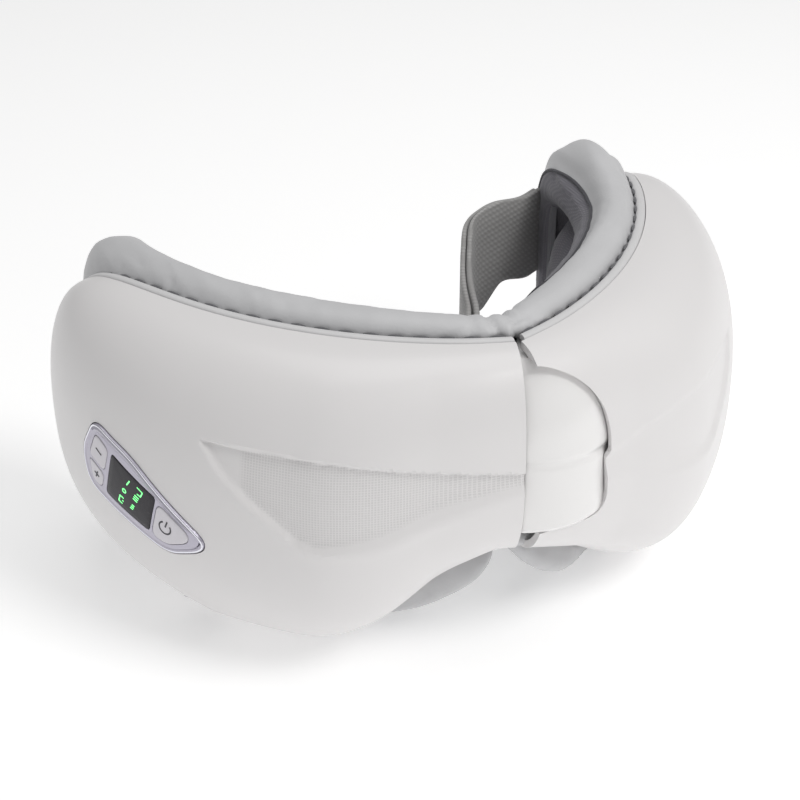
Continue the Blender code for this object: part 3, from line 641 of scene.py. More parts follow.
def shell_skin(side, steps_s, steps_z):
    grid, place = dome_grid(side, 0.0, steps_s, steps_z)
    thinner = BARREL_THINNING if side == RIGHT else 0.0
    inner, _ = dome_grid(side, SHELL_WALL, steps_s, steps_z, -1.0 * MM, thinner)
    along = np.gradient(grid, axis=0)
    around = np.gradient(grid, axis=1)
    normal = np.cross(along, around)
    size = np.linalg.norm(normal, axis=2, keepdims=True)
    normal /= np.maximum(size, 1e-12)
    outward = pod_point(side, 60.0 * MM, 1.0, 40 * MM) - pod_point(side, 60.0 * MM, 0.0, 40 * MM)
    if float(np.dot(normal[steps_s // 2, steps_z // 2], np.array(outward))) < 0.0:
        normal = -normal
    push, inside = grip_relief(side, place[:, :, 0], place[:, :, 1])
    grid = grid + normal * push[:, :, None]
    count = steps_s * steps_z
    vertices = [Vector(p) for p in grid.reshape(-1, 3)] + [Vector(p) for p in inner.reshape(-1, 3)]
    faces = grid_faces(steps_s, steps_z) + grid_faces(steps_s, steps_z, count)
    skin_faces = len(faces) // 2
    last = (steps_s - 1) * steps_z
    faces += border_faces(range(steps_z - 1), 1, count)
    for j in (0, steps_z - 1):
        faces += border_faces(range(j, j + last, steps_z), steps_z, count)
    for base in (0, count):
        faces.append(tuple(base + last + j for j in range(steps_z)))
    outside = GRIP if side == LEFT else SHELL
    item = add_mesh(WORD[side] + "_shell_skin", vertices, faces, [outside, INSIDE])
    mesh = item.data
    for k in range(skin_faces, 2 * skin_faces):
        mesh.polygons[k].material_index = 1
    uv = mesh.uv_layers.new(name="UVMap")
    flat = np.vstack([place.reshape(-1, 2)] * 2) / UV_UNIT
    index = np.zeros(len(mesh.loops), dtype=np.int32)
    mesh.loops.foreach_get("vertex_index", index)
    uv.data.foreach_set("uv", flat[index].astype(np.float32).ravel())
    shares = np.zeros((2 * count, 2))
    shares[:count, 0] = (inside * soft_step((49.0 * MM - place[:, :, 0]) / (5.0 * MM))).ravel()
    mask = mesh.uv_layers.new(name="Grip")
    mask.data.foreach_set("uv", shares[index].astype(np.float32).ravel())
    return item


def box_solid(name, low, high):
    corners = [(x, y, z) for z in (low[2], high[2])
               for x, y in ((low[0], low[1]), (high[0], low[1]), (high[0], high[1]), (low[0], high[1]))]
    faces = [(0, 1, 2, 3), (4, 5, 6, 7), (0, 1, 5, 4), (1, 2, 6, 5), (2, 3, 7, 6), (3, 0, 4, 7)]
    return hidden_mesh(name, [Vector(c) + SHIFT for c in corners], faces)


def seam_x(y):
    return SEAM_FRONT_X + SEAM_SLOPE * (y - SEAM_FRONT_Y)


def plain_dome(side):
    """The dome without relief, as a ray target for pieces let into it."""
    grid, _ = dome_grid(side, 0.0, 70, 61)
    vertices = [Vector(p) for p in grid.reshape(-1, 3)]
    return BVHTree.FromPolygons(vertices, grid_faces(70, 61))


left_skin = shell_skin(LEFT, 230, 150)
right_skin = shell_skin(RIGHT, 210, 140)


# ---------------------------------------------------------------- hinge cover

COVER_ROWS = 130
COVER_COLUMNS = 150
# How much narrower than its full radius the cover is, at heights from its shoulder to its foot.
COVER_SIDE = ((7.0, 70.0), (5.0, 67.0), (2.7, 62.8), (1.1, 58.4), (0.0, 53.0), (0.0, 48.0),
              (0.0, 40.0), (0.0, 34.2))


def barrel_profile():
    """Outside of the hinge barrel as (radius, z) from its top to its foot."""
    run = [(COVER_RADIUS - 8.8 * MM, COVER_HIGH)]
    run += [(COVER_RADIUS - narrower * MM, z * MM) for narrower, z in COVER_SIDE]
    run.append((COVER_RADIUS - 0.8 * MM, COVER_LOW))
    return [tuple(p) for p in resample(catmull(run, 8), COVER_ROWS)]


def seam_angle(radius):
    """Where a turn of this radius about the hinge axis meets the seam plane, less the gap."""
    angle = math.radians(-160.0)
    while angle < math.radians(-60.0):
        x = HINGE_X + radius * math.cos(angle)
        y = HINGE_Y + radius * math.sin(angle)
        if x > seam_x(y) + SEAM_GAP:
            break
        angle += math.radians(0.02)
    return angle


def hinge_point(radius, angle, z):
    return Vector((HINGE_X + radius * math.cos(angle), HINGE_Y + radius * math.sin(angle), z)) + SHIFT


def hinge_cover_skin():
    """The cover's wall, grooved along the seam line of the shells, and its two end plates."""
    steps = COVER_COLUMNS
    end = math.radians(-17.0)
    vertices = []
    for layer in (0, 1):
        for r, z in barrel_profile():
            radius = r - layer * COVER_WALL
            start = seam_angle(radius)
            for k in range(steps):
                share = k / (steps - 1)
                angle = start + (end - start) * share
                x = HINGE_X + radius * math.cos(angle)
                push = 0.0
                if layer == 0:
                    line = 50.0 * MM - 0.03 * (x + 4.0 * MM)
                    across = (z - line) / (1.1 * MM)
                    fade = smooth((24.0 * MM - x) / (4.0 * MM))
                    push = -0.45 * MM * math.exp(-across * across) * fade
                    edge = min(share * 40.0, 1.0)
                    push -= 0.35 * MM * (1.0 - math.sqrt(max(0.0, 1.0 - (1.0 - edge) ** 2)))
                vertices.append(hinge_point(radius + push, angle, z))
    count = COVER_ROWS * steps
    faces = grid_faces(COVER_ROWS, steps) + grid_faces(COVER_ROWS, steps, count)
    last = count - steps
    for first in (0, steps - 1):
        faces += border_faces(range(first, first + last, steps), steps, count)
    for first in (0, last):
        faces += border_faces(range(first, first + steps - 1), 1, count)
    parts = [(vertices, faces)]
    for low, high, reach in ((COVER_HIGH - 1.6 * MM, COVER_HIGH - 0.1 * MM, 11.8 * MM),
                             (COVER_LOW + 0.1 * MM, COVER_LOW + 1.6 * MM, 19.6 * MM)):
        rings = []
        for k in range(49):
            angle = math.radians(-148.0 + 74.0 * k / 48)
            section = [(2.1 * MM, high), (reach, high), (reach, low), (2.1 * MM, low)]
            ring = [hinge_point(r, angle, z) for r, z in section]
            for p in ring:
                p.x = max(p.x, seam_x(p.y - SHIFT.y) + SEAM_GAP + SHIFT.x)
            rings.append(ring)
        parts.append(ring_parts(rings))
    return add_mesh("hinge_cover_skin", *join_parts(parts), [COVER])


cover_skin = hinge_cover_skin()
settle(cover_skin, "left_pod", "cover_gloss", "hinge_cover")

# The right shell ends over the barrel, and seen from the front its edge is a D.
D_EDGE = ((-4.0, 32.2), (6.0, 32.2), (12.2, 32.25), (15.2, 33.0), (16.8, 35.4), (17.2, 38.0),
          (16.8, 42.0), (16.3, 46.6), (16.4, 48.0), (17.2, 49.0), (17.3, 50.4), (16.9, 54.5),
          (15.4, 60.0), (12.6, 64.6), (8.8, 68.2), (4.2, 70.8), (0.0, 72.2), (-4.0, 72.6))
d_outline = [(x * MM, z * MM) for x, z in catmull(D_EDGE, 6)]
d_rings = [[Vector((x, y, z)) + SHIFT for x, z in d_outline] for y in (-0.040, 0.006)]
d_cut = cutter("barrel_edge", d_rings)
corner_cut = box_solid("corner_trim", (-0.02, -0.05, -0.01), (0.3 * MM, 0.03, 0.09))
carve(right_skin, d_cut, corner_cut)
soften(right_skin, 30.0)


# ---------------------------------------------------------------- control panel

left_dome = plain_dome(LEFT)


def panel_axes():
    aim = pod_point(LEFT, PANEL_S, 0.0, PANEL_Z)
    outward = (pod_point(LEFT, PANEL_S, 1.0, PANEL_Z) - aim).normalized()
    spot, normal, _, _ = left_dome.ray_cast(aim + outward * 0.06, -outward)
    if normal.dot(outward) < 0.0:
        normal = -normal
    level = Vector((0.0, 0.0, 1.0)).cross(normal).normalized()
    climb = normal.cross(level).normalized()
    along = (level * math.cos(PANEL_SLOPE) - climb * math.sin(PANEL_SLOPE)).normalized()
    return spot, along, normal.cross(along).normalized(), normal


panel_spot, panel_along, panel_up, panel_out = panel_axes()
panel_matrix = Matrix((panel_along, panel_up, panel_out)).transposed().to_4x4()
panel_matrix.translation = panel_spot


def on_panel(x, y, height):
    """Place on the dome under (x, y) of the panel's own plane, raised by height."""
    start = panel_matrix @ Vector((x, y, 0.03))
    hit = left_dome.ray_cast(start, -panel_out)[0]
    return hit + panel_out * height


def rounded(corners, radius, steps=8):
    outline = []
    for i, corner in enumerate(corners):
        here = Vector(corner)
        before = Vector(corners[i - 1]) - here
        after = Vector(corners[(i + 1) % len(corners)]) - here
        a = here + before.normalized() * min(radius, 0.48 * before.length)
        b = here + after.normalized() * min(radius, 0.48 * after.length)
        for k in range(steps):
            t = k / (steps - 1)
            point = a * (1.0 - t) ** 2 + here * (2.0 * t * (1.0 - t)) + b * t ** 2
            outline.append((point.x, point.y))
    return outline


def outline_of(corners, radius, count):
    return resample(rounded([(x * MM, y * MM) for x, y in corners], radius * MM), count, True)


def outward_of(outline):
    """Unit directions that point out of a closed outline, one for each of its points."""
    run = np.roll(outline, -1, axis=0) - np.roll(outline, 1, axis=0)
    run /= np.maximum(np.linalg.norm(run, axis=1, keepdims=True), 1e-12)
    return np.stack([run[:, 1], -run[:, 0]], axis=1)


def grown(outline, amount):
    """An outline moved outward; amount is one number or one for each point."""
    return outline + outward_of(outline) * np.reshape(amount, (-1, 1))


def scaled(outline, share):
    middle = outline.mean(axis=0)
    return middle + (outline - middle) * share


def panel_ring(outline, height):
    """An outline laid on the panel; height is one number or one for each point."""
    heights = np.broadcast_to(height, (len(outline),))
    return [on_panel(x, y, float(h)) for (x, y), h in zip(outline, heights)]


def let_in_parts(levels):
    """A closed solid through rings on the panel, each ring an outline and its height."""
    vertices = []
    count = len(levels[0][0])
    for outline, height in levels:
        vertices += panel_ring(outline, height)
    faces = ring_faces(len(levels), count)
    for outline, height, base in ((levels[0][0], levels[0][1], 0),
                                  (levels[-1][0], levels[-1][1], (len(levels) - 1) * count)):
        middle = outline.mean(axis=0)
        vertices.append(on_panel(middle[0], middle[1], float(np.mean(height))))
        centre = len(vertices) - 1
        faces += [(base + k, base + (k + 1) % count, centre) for k in range(count)]
    return vertices, faces


PANEL_CORNERS = ((-14.5, -9.8), (12.2, -6.8), (19.5, 1.0), (18.9, 4.6), (-5.0, 9.6), (-18.4, 8.2),
                 (-19.4, -3.0))
WINDOW_CORNERS = ((-8.3, -6.6), (5.8, -5.0), (4.4, 5.2), (-10.2, 5.2))
MINUS_CORNERS = ((-16.6, -1.7), (-10.6, -1.7), (-11.5, 5.0), (-16.6, 5.2))
PLUS_CORNERS = ((-13.4, -7.4), (-9.9, -7.0), (-10.5, -2.6), (-16.4, -2.6))
POWER_CORNERS = ((6.7, -5.2), (11.0, -4.7), (15.6, 0.4), (14.8, 3.0), (5.4, 4.6))
panel_outline = outline_of(PANEL_CORNERS, 3.6, 150)
window_outline = outline_of(WINDOW_CORNERS, 0.8, 72)
key_outlines = {"minus": outline_of(MINUS_CORNERS, 1.6, 64), "plus": outline_of(PLUS_CORNERS, 1.6, 64),
                "power": outline_of(POWER_CORNERS, 2.2, 72)}


def panel_bezel():
    """Bezel with a raised, sloping lip along its upper side that runs out level below; the lip's upper
    slope takes a darker copy of the bezel metal as painted shade.
    """
    facing_up = outward_of(panel_outline)[:, 1]
    top = soft_step((facing_up + 0.25) / 1.1)
    for _ in range(4):
        top = (np.roll(top, 1) + top * 2.0 + np.roll(top, -1)) / 4.0
    tip = soft_step((panel_outline[:, 0] - 11.0 * MM) / (7.0 * MM))
    lip = (0.22 + 0.42 * top) * MM
    slope = (0.45 + 1.45 * top * (1.0 - 0.75 * tip)) * MM
    floor_level = np.full(len(top), 0.05 * MM)
    levels = [(0.0, -1.5 * MM), (0.0, lip - 0.20 * MM), (-0.06 * MM, lip - 0.06 * MM),
              (-0.20 * MM, lip), (-0.42 * MM, lip - 0.04 * MM),
              (-0.46 * MM - 0.5 * slope, lip * 0.42 + 0.03 * MM), (-0.46 * MM - slope, floor_level),
              (-0.75 * MM - slope, floor_level - 0.3 * MM),
              (-0.75 * MM, floor_level - 1.5 * MM)]
    vertices = []
    for offset, height in levels:
        vertices += panel_ring(grown(panel_outline, offset), height)
    count = len(panel_outline)
    ring = add_mesh("panel_bezel_ring", vertices, ring_faces(len(levels), count, True),
                    [BEZEL, CHROME, BEZEL_PAINTED_SHADE], 50.0)
    for row in (2, 3):
        for k in range(count):
            ring.data.polygons[row * count + k].material_index = 1
    # Painted shade: the upper slope of the lip gets the darker copy of the bezel metal.
    for k in range(count):
        if top[k] > 0.45:
            ring.data.polygons[4 * count + k].material_index = 2
    return ring


def room_for(outline, gap, below, above):
    """A cutter through the panel, a gap wider than an outline."""
    wider = grown(outline, gap)
    return hidden_mesh("room", *let_in_parts([(wider, -below), (wider, above)]))


def panel_face():
    """The flat of the panel inside its lip, with a hole for the window and for each key."""
    inner = scaled(panel_outline, 0.93)
    levels = [(scaled(inner, 0.98), -1.4 * MM), (inner, -1.3 * MM), (inner, 0.02 * MM)]
    levels += [(scaled(inner, share), 0.05 * MM) for share in (0.97, 0.7, 0.35)]
    plate = add_mesh("panel_face", *let_in_parts(levels), [BEZEL], 50.0)
    carve(plate, *[room_for(outline, 0.15 * MM, 4.0 * MM, 3.0 * MM)
                   for outline in [window_outline] + list(key_outlines.values())])
    soften(plate, 40.0)
    settle(plate, "left_pod", "bezel_silver")


panel_face()
bezel = panel_bezel()
settle(bezel, "left_pod", "bezel_silver", "control_bezel")

pocket = room_for(panel_outline, 0.28 * MM, 4.5 * MM, 5.0 * MM)
seam_plan = [(seam_x(-0.05), -0.05), (0.012, -0.05), (0.012, 0.02), (seam_x(0.02), 0.02)]
seam = cutter("seam_trim", [[Vector((x, y, z)) + SHIFT for x, y in seam_plan] for z in (-0.01, 0.09)])
port_axis = pod_point(LEFT, 62.0 * MM, 1.0, 0.0) - pod_point(LEFT, 62.0 * MM, 0.0, 0.0)
port_along = port_axis.cross(Vector((0.0, 0.0, 1.0))).normalized()
slot_centre = pod_point(LEFT, 62.0 * MM, 17.0 * MM, 4.0 * MM)
slot_rings = []
for lift in (-6.5 * MM, 6.5 * MM):
    ring = []
    for k in range(32):
        turn = 2.0 * math.pi * k / 32
        wide = signed_power(math.cos(turn), 0.35) * 4.8 * MM
        deep = signed_power(math.sin(turn), 0.6) * 1.9 * MM
        across = port_along * wide + port_axis.normalized() * deep
        ring.append(slot_centre + across + Vector((0, 0, lift)))
    slot_rings.append(ring)
carve(left_skin, seam, pocket, cutter("port_slot", slot_rings))
soften(left_skin, 30.0)
for side, skin in ((LEFT, left_skin), (RIGHT, right_skin)):
    settle(skin, BODY[side], "shell_white", WORD[side] + "_outer_shell")


def display_look():
    """Dark, slightly uneven glass."""
    made = Nodes("display_glass_look", (0.016, 0.014, 0.020), 0.12, Specular_IOR_Level=0.25,
                 Coat_Weight=0.12, Coat_Roughness=0.05)
    made.shades(made.noise(180.0, 2.0), 0.10)
    made.gloss(made.noise(1200.0, 3.0), 0.06, 0.12)
    made.bump(made.noise(260.0, 2.0), 0.04, 0.00005)
    return made.material


glass_levels = [(scaled(window_outline, 0.98), -1.2 * MM), (window_outline, -1.1 * MM),
                (window_outline, -0.05 * MM), (grown(window_outline, -0.08 * MM), 0.03 * MM),
                (grown(window_outline, -0.22 * MM), 0.06 * MM),
                (scaled(window_outline, 0.8), 0.06 * MM), (scaled(window_outline, 0.4), 0.06 * MM)]
glass = add_mesh("display_glass", *let_in_parts(glass_levels), [display_look()], 50.0)
settle(glass, "left_pod", "window_dark", "display_window")


def key_cap(word, body):
    outline = key_outlines[word]
    top = 0.20 * MM
    levels = [(scaled(outline, 0.96), -2.5 * MM), (outline, -2.4 * MM), (outline, top - 0.22 * MM),
              (grown(outline, -0.05 * MM), top - 0.10 * MM),
              (grown(outline, -0.16 * MM), top - 0.02 * MM),
              (grown(outline, -0.32 * MM), top), (scaled(outline, 0.75), top - 0.02 * MM),
              (scaled(outline, 0.4), top - 0.05 * MM)]
    item = add_mesh(word + "_key_cap", *let_in_parts(levels), [KEY], 50.0)
    settle(item, body, "button_silver", word + "_button")


for word in key_outlines:
    key_cap(word, word + "_key")


def stroke_parts(points, width, height, closed=False, rise=0.05 * MM):
    """A flat printed stroke on the panel, raised a hair above it."""
    flat = [on_panel(x * MM, y * MM, height) for x, y in points]
    return tube_parts(flat, width, 8, closed, rise / width, lambda i: panel_out)


def icon(name, strokes, height, width, look, body):
    parts = [stroke_parts(points, width * MM, height, closed) for points, closed in strokes]
    settle(add_mesh(name, *join_parts(parts), [look], 60.0), body, "window_dark")


def segment(x0, y0, x1, y1, count=7):
    return [(x0 + (x1 - x0) * k / (count - 1), y0 + (y1 - y0) * k / (count - 1)) for k in range(count)]


def arc(x, y, radius, start, end, count=28):
    return [(x + radius * math.cos(math.radians(start + (end - start) * k / (count - 1))),
             y + radius * math.sin(math.radians(start + (end - start) * k / (count - 1))))
            for k in range(count)]


ICON_HEIGHT = 0.185 * MM
icon("minus_mark", [(segment(-15.0, 1.9, -12.8, 1.7), False)], ICON_HEIGHT, 0.21, INK, "minus_key")
icon("plus_mark", [(segment(-13.4, -4.8, -11.6, -4.9), False),
                   (segment(-12.45, -3.95, -12.55, -5.75), False)], ICON_HEIGHT, 0.20, INK, "plus_key")
icon("power_mark", [(arc(9.3, -0.2, 1.6, 128.0, 412.0), False), (segment(9.3, 1.9, 9.3, 0.1), False)],
     ICON_HEIGHT, 0.21, INK, "power_key")


def led_look():
    made = Nodes("led_green_look", (0.20, 0.85, 0.30), 0.5, Emission_Color=(0.16, 1.0, 0.26, 1.0),
                 Emission_Strength=1.1)
    made.tint(made.noise(2200.0, 2.0), (0.15, 0.75, 0.25), (0.45, 1.0, 0.50))
    return made.material


LED = led_look()
GLYPH_BARS = ((-3.15, 3.3, -3.55, 1.5), (-4.4, -3.1, -3.1, -3.0), (-4.3, -4.9, -3.0, -4.8),
              (-4.35, -3.1, -4.25, -4.9), (-3.3, -3.9, -2.9, -3.9, 4), (-0.8, 3.6, 1.0, 3.5),
              (1.0, 3.5, 0.9, 2.0), (0.9, 2.0, -0.2, 1.9), (-0.7, 1.0, 0.7, 1.0),
              (-0.75, 0.35, 0.65, 0.35), (-0.8, -0.3, 0.6, -0.3), (-0.5, -2.3, 0.3, -2.2),
              (-0.6, -2.9, 0.3, -2.8), (-0.7, -3.5, 0.2, -3.4))
GLYPHS = [(segment(*bar), False) for bar in GLYPH_BARS]
GLYPHS.insert(1, (arc(-3.65, -0.75, 0.50, 0.0, 340.0, 20), True))
icon("display_glyphs", GLYPHS, 0.075 * MM, 0.17, LED, "left_pod")


# ---------------------------------------------------------------- face outlines

def left_of(a, b):
    """Unit direction to the left of the way from a to b."""
    size = max(math.dist(a, b), 1e-9)
    return -(b[1] - a[1]) / size, (b[0] - a[0]) / size


def face_outline(start, inset, count, corner):
    """Closed run of (s, z, inward s, inward z) round a pod's face side."""
    samples = [start + corner * (i / 20.0) ** 2 for i in range(20)]
    samples += spaced(start + corner, POD_LENGTH, 50, 1.8)
    raw = []
    upper = []
    for s in samples:
        middle, half = elevation(s)
        half *= rounding(start + corner - s, 0.0, corner, 2.6)
        raw.append((s, middle - half))
        upper.append((s, middle + half))
    raw += list(reversed(upper[1:-1]))
    even = resample(raw, count, True)
    path = []
    for i in range(count):
        inward = left_of(even[i - 1], even[(i + 1) % count])
        s, z = even[i]
        path.append((s + inward[0] * inset, z + inward[1] * inset, inward[0], inward[1]))
    return path


def edge_run(count, low_stop, top_stop=0.0):
    """Open run along a shell's edge: from the bridge along the top, round the end and back below."""
    raw = []
    for s in spaced(top_stop, POD_LENGTH, 90, 1.8):
        middle, half = elevation(s)
        raw.append((s, middle + half))
    for s in reversed(spaced(low_stop, POD_LENGTH, 80, 1.8)):
        middle, half = elevation(s)
        raw.append((s, middle - half))
    even = resample(raw, count)
    path = []
    for i in range(count):
        outward = left_of(even[max(i - 1, 0)], even[min(i + 1, count - 1)])
        path.append((even[i][0], even[i][1], -outward[0], -outward[1]))
    return path


def section_ring(side, place, section):
    s, z, inward_s, inward_z = place
    return [pod_point(side, s + w * inward_s, n, z + w * inward_z) for w, n in section]


# ---------------------------------------------------------------- soft goods

def remeshed(item, voxel, rounds):
    change = item.modifiers.new("remesh", "REMESH")
    change.mode = "VOXEL"
    change.voxel_size = voxel
    calm = item.modifiers.new("calm", "SMOOTH")
    calm.factor = 0.5
    calm.iterations = rounds
    bake(item)


def dress(item, *looks):
    item.data.materials.clear()
    for made in looks:
        item.data.materials.append(made)


def coordinates(mesh):
    flat = np.zeros(len(mesh.vertices) * 3)
    mesh.vertices.foreach_get("co", flat)
    return flat.reshape(-1, 3)


def set_coordinates(mesh, points):
    mesh.vertices.foreach_set("co", points.ravel())
    mesh.update()


SIM_SCALE = 10.0
SIM_FRAMES = 20


def plump(item, pressure, cap):
    """Cloth under air pressure, run on a model ten times the size, each point held within cap."""
    start = coordinates(item.data)
    set_coordinates(item.data, start * SIM_SCALE)
    cloth = item.modifiers.new("cloth", "CLOTH")
    settings = cloth.settings
    settings.quality = 6
    settings.mass = 0.2
    settings.tension_stiffness = 18.0
    settings.compression_stiffness = 18.0
    settings.bending_stiffness = 1.2
    settings.use_pressure = True
    settings.uniform_pressure_force = pressure
    settings.effector_weights.gravity = 0.0
    cloth.point_cache.frame_start = 1
    cloth.point_cache.frame_end = SIM_FRAMES
    scene = bpy.context.scene
    for step in range(1, SIM_FRAMES + 1):
        scene.frame_set(step)
    bake(item)
    moved = coordinates(item.data) / SIM_SCALE - start
    size = np.linalg.norm(moved, axis=1, keepdims=True)
    moved *= np.minimum(1.0, cap / np.maximum(size, 1e-12))
    set_coordinates(item.data, start + moved)
    scene.frame_set(1)


# Rolled rim: its section is listed as (inward, n) from the groove beside the welt.
ROLL = ((0.8, 5.0), (-1.1, 4.7), (-2.7, 3.2), (-3.4, 1.0), (-3.0, -1.5), (-1.4, -3.4), (0.9, -4.3),
        (2.4, -6.2), (4.4, -8.9), (7.0, -10.2), (9.4, -8.6), (10.2, -4.5), (10.0, 0.0), (8.6, 3.9))
BRIDGE_ROLL = ROLL[:8] + ((4.6, -8.4), (8.0, -9.6), (8.8, -7.4), (5.4, -6.0), (3.2, -1.0), (2.6, 3.0))
LOBE_ROLL = ((1.0, 7.4), (-1.2, 8.6), (-4.0, 10.8), (-6.8, 9.8), (-8.3, 6.5), (-8.3, 2.0), (-6.5, -3.0),
             (-3.0, -7.0), (1.5, -8.6), (5.5, -7.0), (7.0, -2.5), (6.5, 3.0), (4.5, 6.4))
FLOOR_STOP = -3.0 * MM


def section_of(knots, count):
    closed = catmull([knots[-1]] + list(knots) + [knots[0], knots[1]], 6)
    trimmed = closed[6:-6]
    return [(w * MM, n * MM) for w, n in resample(trimmed[:-1], count, True)]


def nose_lobe(side):
    """The full, round corner of a pad beside the nose, below the shell's edge."""
    lobe = section_of(LOBE_ROLL, 32)
    middle_w = sum(p[0] for p in lobe) / len(lobe)
    middle_n = sum(p[1] for p in lobe) / len(lobe)
    first, rounded_over = (2.2, 9.0) if side == LEFT else (0.4, 12.0)
    rings = []
    for k in range(45):
        s = (first + (38.0 - first) * k / 44) * MM
        grown_by = min(1.0, (s - (first - 0.2) * MM) / (rounded_over * MM))
        swell = math.sqrt(max(0.0, 1.0 - (1.0 - grown_by) ** 2.2))
        swell *= 1.0 - 0.52 * smooth((s - 12.0 * MM) / (22.0 * MM))
        low = underside(s)
        if side == RIGHT:
            low -= 2.0 * MM * math.exp(-((s - 10.5 * MM) / (6.0 * MM)) ** 2)
        ring = []
        for w, n in lobe:
            z = max(FLOOR_STOP, low + middle_w + (w - middle_w) * swell)
            ring.append(pod_point(side, s, middle_n + (n - middle_n) * swell, z))
        rings.append(ring)
    return ring_parts(rings)


def across_bridge(t):
    """Side and s of a place t millimetres to the right of the middle of the bridge."""
    return LEFT if t < 0 else RIGHT, abs(t) * MM


def rim_leather():
    """Both rolled rims, the lobes beside the nose and what joins them at the bridge, as one skin."""
    parts = []
    section = section_of(ROLL, 36)
    for side in (LEFT, RIGHT):
        rings = []
        for place in face_outline(PAD_START, 0.0, 200, PAD_CORNER):
            s, z, _, _ = place
            swell = math.exp(-((s - 102.0 * MM) / (11.0 * MM)) ** 2)
            swell *= smooth((z - 34.0 * MM) / (20.0 * MM))
            fuller = []
            for w, n in section:
                outer = smooth((7.0 * MM - w) / (6.0 * MM))
                lean_n = 1.2 * MM if n > -2.0 * MM else -3.0 * MM
                fuller.append((w - 2.4 * MM * swell * outer, n + lean_n * swell * outer))
            rings.append(section_ring(side, place, fuller))
        parts.append(ring_parts(rings, True))
        parts.append(nose_lobe(side))
    bridge = section_of(BRIDGE_ROLL, 36)
    rings = []
    for t in range(-40, 41):
        side, s = across_bridge(t)
        rings.append([pod_point(side, s, n, TOP_HEIGHT - w) for w, n in bridge])
    parts.append(ring_parts(rings))
    # A quilted web closes the bridge behind the hinge, under the roll.
    web = []
    for t in range(-20, 21):
        side, s = across_bridge(t)
        thick = 1.2 * MM + 0.5 * MM * math.cos(t * 0.55)
        low = 29.0 * MM + underside(0.0) * 0.15
        web.append([pod_point(side, s, n, z) for n, z in (
            (-7.6 * MM + thick, low + 1.5 * MM), (-7.6 * MM + thick, 70.0 * MM),
            (-7.6 * MM - thick, 70.0 * MM), (-7.6 * MM - thick, low + 1.5 * MM), (-7.6 * MM, low))])
    parts.append(ring_parts(web))
    # A soft bridge joins the two lobes under the hinge.
    pad = []
    for k in range(13):
        turn = math.pi * (k + 0.5) / 13
        pad.append([Vector((2.4 * MM - 8.0 * MM * math.cos(turn),
                            -5.0 * MM + 8.5 * MM * math.sin(turn) * math.cos(math.pi * m / 12),
                            27.0 * MM + 4.6 * MM * math.sin(turn) * math.sin(math.pi * m / 12))) + SHIFT
                    for m in range(24)])
    parts.append(ring_parts(pad))
    item = add_mesh("rim_leather", *join_parts(parts), [LEATHER, KNIT])
    remeshed(item, 1.0 * MM, 4)
    return item


def fill_outer_end(points):
    """The pads grow towards the temples: the back moves out, up and away from the shell."""
    result = points.copy()
    for k, point in enumerate(points):
        spot = Vector(point) - SHIFT
        side = LEFT if spot.x < 0.0 else RIGHT
        across = side * spot.x + ARC_RADIUS * math.sin(BRIDGE_HEADING)
        back = ARC_RADIUS * math.cos(BRIDGE_HEADING) - spot.y
        s = (math.atan2(across, back) - BRIDGE_HEADING) * ARC_RADIUS
        if s < 60.0 * MM:
            continue
        n = math.hypot(across, back) - ARC_RADIUS
        deep = smooth((3.0 * MM - n) / (8.0 * MM))
        share = smooth((s - 66.0 * MM) / (28.0 * MM)) * deep
        high = smooth((spot.z - 30.0 * MM) / (30.0 * MM))
        reach = 4.2 * MM if side == RIGHT else 0.0
        lift = 1.0 if side == RIGHT else 0.25
        crown = 4.0 * deep * (1.0 - deep) * smooth((s - 66.0 * MM) / (28.0 * MM))
        outward = (2.6 * share if side == RIGHT else 3.0 * smooth((6.0 * MM - n) / (5.0 * MM))) * MM
        along = s + outward * smooth((s - 84.0 * MM) / (14.0 * MM))
        climb = (2.2 * share + 3.0 * crown) * lift * MM * high
        result[k] = pod_point(side, along, n - reach * share, spot.z + climb)
    return result


def nearest_outline(points):
    """For each point, how far inward from the shell's outline it lies, and its n."""
    tree = KDTree(2 * 400)
    notes = []
    for side in (LEFT, RIGHT):
        for place in face_outline(PAD_START, 0.0, 400, PAD_CORNER):
            base = pod_point(side, place[0], -5.0 * MM, place[1])
            inner = pod_point(side, place[0] + MM * place[2], -5.0 * MM, place[1] + MM * place[3])
            tree.insert(base, len(notes))
            ahead = pod_point(side, place[0], -4.0 * MM, place[1])
            notes.append((base, (inner - base).normalized(), (ahead - base).normalized()))
    tree.balance()
    result = []
    for point in points:
        base, inward, ahead = notes[tree.find(point)[1]]
        offset = Vector(point) - base
        result.append((offset.dot(inward), offset.dot(ahead) - 5.0 * MM))
    return result


rim = rim_leather()
plump(rim, 3.0, 0.7 * MM)


def crease(item):
    """Folds where the roll bends over the bridge, and soft puckers along its length."""
    points = coordinates(item.data)
    normals = np.array([v.normal[:] for v in item.data.vertices])
    local = points - np.array(SHIFT)
    x = local[:, 0] / MM
    y = local[:, 1] / MM
    z = local[:, 2] / MM
    push = np.zeros(len(points))
    near = np.exp(-(x / 9.0) ** 2) * np.clip((z - 58.0) / 8.0, 0.0, 1.0)
    folds = ((-6.5, 0.25, 1.0, 0.7), (-2.6, 0.10, 0.8, 1.0), (0.6, -0.10, 0.9, 0.9),
             (4.4, -0.30, 1.1, 0.6))
    for centre, tilt, width, depth in folds:
        line = centre + tilt * (y - 4.0) + 0.5 * np.sin(z * 0.9 + centre)
        push -= depth * MM * np.exp(-((x - line) / width) ** 2) * near
    run = np.arctan2(z - 42.0, np.abs(x) - 52.0)
    pucker = np.sin(run * 46.0) * np.sin(run * 17.0 + 1.3)
    push += 0.07 * MM * pucker
    set_coordinates(item.data, points + normals * push[:, None])


crease(rim)


